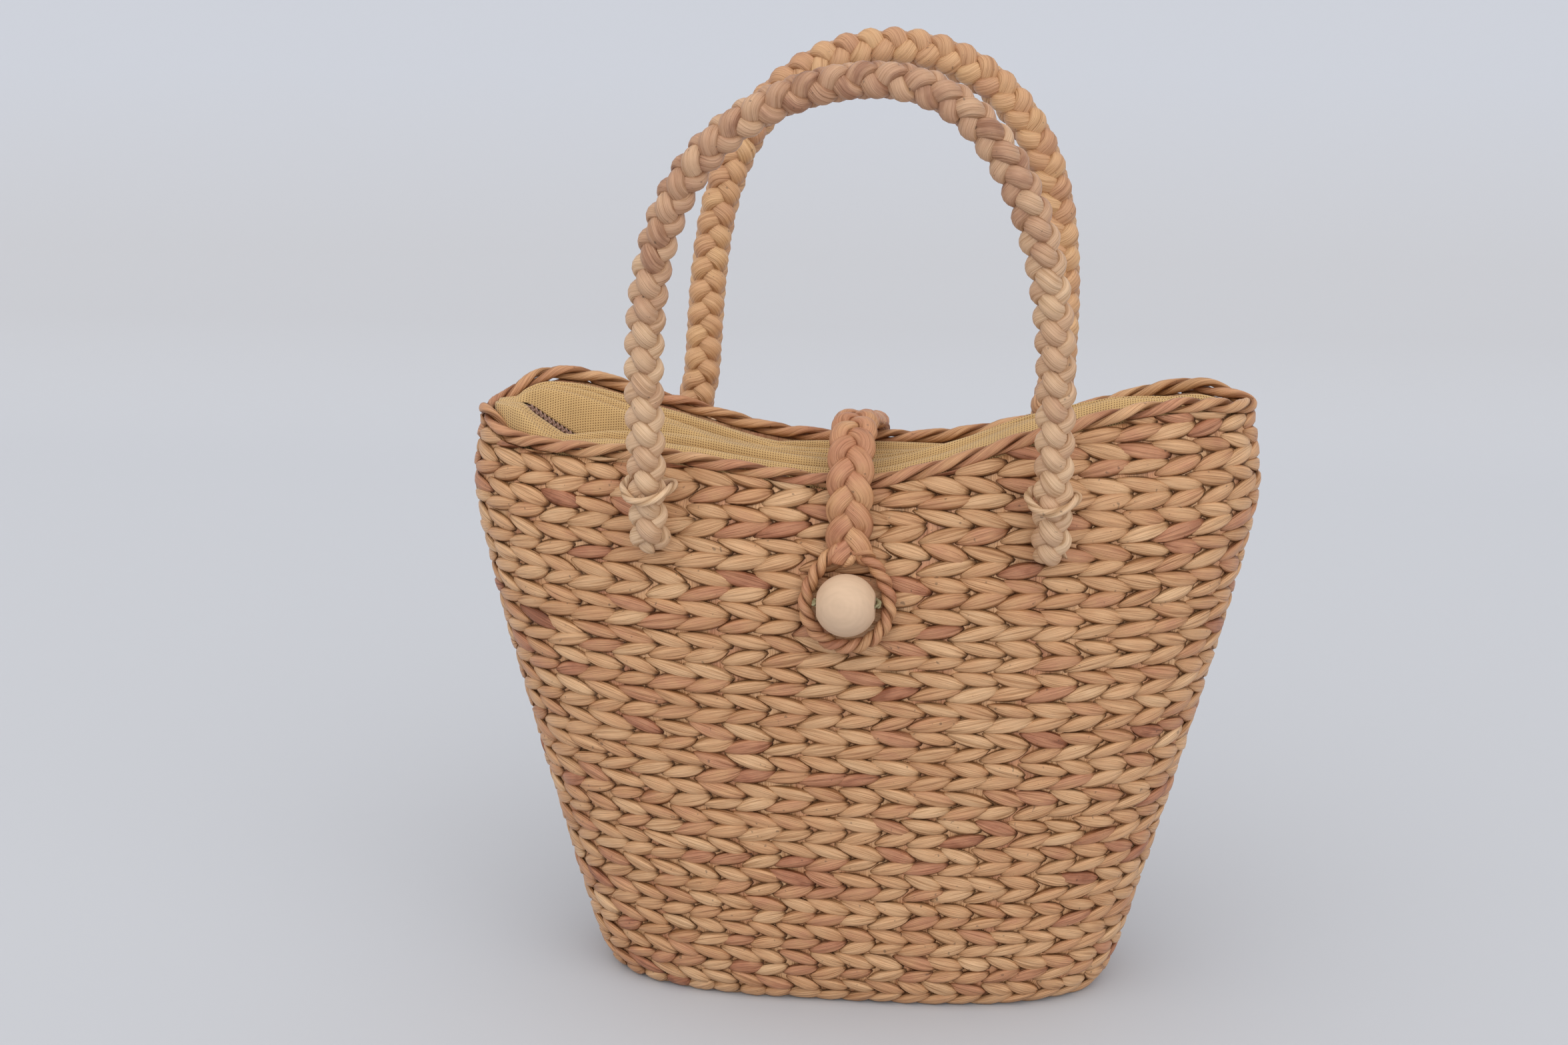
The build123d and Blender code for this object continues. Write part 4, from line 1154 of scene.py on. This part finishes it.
def top_panel(name, side, crest, node_name):
    """Panel from the rim over a fold, crest above it, and down to the zip. Past the zip, the panels meet."""
    panel, u, v = add_grid(name, PANEL_ALONG, PANEL_ACROSS)
    x = (2 * u - 1) * PANEL_HALF
    edge_y, edge_z = rim_edge(x, side)
    rim = rim_height(x, edge_y)
    valley = zip_height(x) + ZIP_COVER
    end = np.clip((PANEL_HALF - np.abs(x)) / PANEL_END, 0, 1)
    meet = np.clip((np.abs(x) - (ZIP_HALF - 0.004)) / 0.006, 0, 1)
    y_zip = side * (np.minimum(ZIP_SIDE, np.abs(edge_y) * 0.6) * (1 - meet) + 0.1 * MM)
    y = edge_y + (y_zip - edge_y) * v
    fold = np.maximum(rim + crest * end, valley + FOLD_LEAST)
    rise = np.clip(v / RISE_SHARE, 0, 1)
    fall = np.clip((v - FALL_START) / (1 - FALL_START), 0, 1)
    z = edge_z + (fold - edge_z) * np.sin(rise * math.pi / 2)
    z = z + (valley - fold) * (1 - np.cos(fall * math.pi / 2))
    slow = np.sin(x * 19 + side) + 0.5 * np.sin(x * 41 + 2 * side)
    # Painted shade: how far each point lies in a furrow, kept to darken the cloth there.
    crease_shade = np.zeros(len(x))
    for place, deep in FURROWS:
        furrow = np.exp(-((v - place - 0.05 * slow) / FURROW_WIDTH) ** 2)
        furrow = furrow * end * (0.7 + 0.3 * np.sin(x * 33 + 9 * place))
        crease_shade = crease_shade + furrow
        z = z - deep * furrow
    z = z + RIPPLE * np.sin(math.pi * v) * np.sin(v * 19 + 0.9 * slow) * end
    points = np.stack([x, y, z], 1)
    set_points(panel, points)
    column = np.lexsort((v, u))
    shape = (PANEL_ALONG + 1, PANEL_ACROSS + 1, 3)
    steps = np.linalg.norm(np.diff(points[column].reshape(shape), axis=1), axis=2)
    width = np.empty(len(u))
    width[column] = np.concatenate([np.zeros((shape[0], 1)), np.cumsum(steps, 1)], 1).ravel()
    set_uv(panel, x, width + 0.2 * (side > 0))
    set_value(panel, "crease_shade", np.clip(crease_shade, 0, 1))
    close_up(panel)
    thicken(panel, CLOTH_THICK)
    panel.data.materials.append(LINING)
    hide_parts(node_name)
    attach(panel, "bag")


top_panel("front_lining_panel", FRONT, 0.006, "lining_top_front")
top_panel("rear_lining_panel", REAR, 0.001, "lining_top_rear")


# %% [markdown]
# ## Zip
# A coil zip: each side is a nylon spiral sewn to the edge of a woven tape. The spiral is a thin strand on
# a helix. The slider and its pull keep their CAD shape with softened edges and an enamel finish.

# %% Tapes and coils
TAPE_WIDTH, TAPE_GAP, TAPE_THICK = 6.8 * MM, 1.2 * MM, 0.6 * MM
COIL_PITCH, COIL_SIDE, COIL_LIFT, COIL_END = 1.8 * MM, 1.7 * MM, 1.25 * MM, 2 * MM
COIL_REACH = np.array([0, 0.75 * MM, 0.6 * MM])
COIL_WIDE, COIL_THICK, COIL_POINTS = 0.42 * MM, 0.36 * MM, 12

nylon, tree, shader = new_material("nylon_coil")
mottle = noise(tree, coordinates(tree, "Object"), 900.0, 2.0)
colour = ramp(tree, mottle, ((0.3, tone(140, 108, 96)), (0.7, tone(166, 132, 116))))
feed(tree, shader, {"Base Color": colour, "Roughness": 0.45})

for side, word in ((FRONT, "front"), (REAR, "rear")):
    tape, u, v = add_grid(f"{word}_zip_tape", 96, 8)
    x = (2 * u - 1) * ZIP_HALF
    y = side * (TAPE_GAP + TAPE_WIDTH * v)
    set_points(tape, np.stack([x, y, zip_height(x)], 1))
    set_uv(tape, x, v * TAPE_WIDTH)
    close_up(tape)
    thicken(tape, TAPE_THICK)
    tape.data.materials.append(TAPE)
    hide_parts(f"zip_tape_{word}")
    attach(tape, "bag")
    turns = int(ZIP_HALF * 2 / COIL_PITCH)
    count = turns * COIL_POINTS
    turn = np.linspace(0, 2 * math.pi * turns, count + 1)
    x = np.linspace(-1, 1, count + 1) * (ZIP_HALF - COIL_END)
    spoke = np.stack([np.zeros(count + 1), side * np.cos(turn), np.sin(turn)], 1)
    core = np.stack([x, np.full(count + 1, side * COIL_SIDE), zip_height(x) + COIL_LIFT], 1)
    coil = strand(f"{word}_zip_coil", core + spoke * COIL_REACH, COIL_WIDE, COIL_THICK, spoke, count, 6)
    coil.data.materials.append(nylon)
    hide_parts(f"zip_coil_{word}")
    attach(coil, "bag")
    print(word, "coil triangles", triangles(coil))


# %% Slider and pull
enamel, tree, shader = new_material("taupe_enamel")
wear = noise(tree, coordinates(tree, "Object"), 700.0, 3.0)
colour = ramp(tree, wear, ((0.35, tone(138, 112, 100)), (0.7, tone(160, 134, 120))))
feed(tree, shader, {"Base Color": colour, "Roughness": 0.35, "Metallic": 0.4})
for name in ("zip_slider", "zip_pull"):
    part = frame["nodes"][name]
    part.data.materials.clear()
    part.data.materials.append(enamel)
    soft = part.modifiers.new("soft_edges", "BEVEL")
    soft.width = 0.15 * MM
    soft.segments = 2
print("slider and pull have", enamel.name)
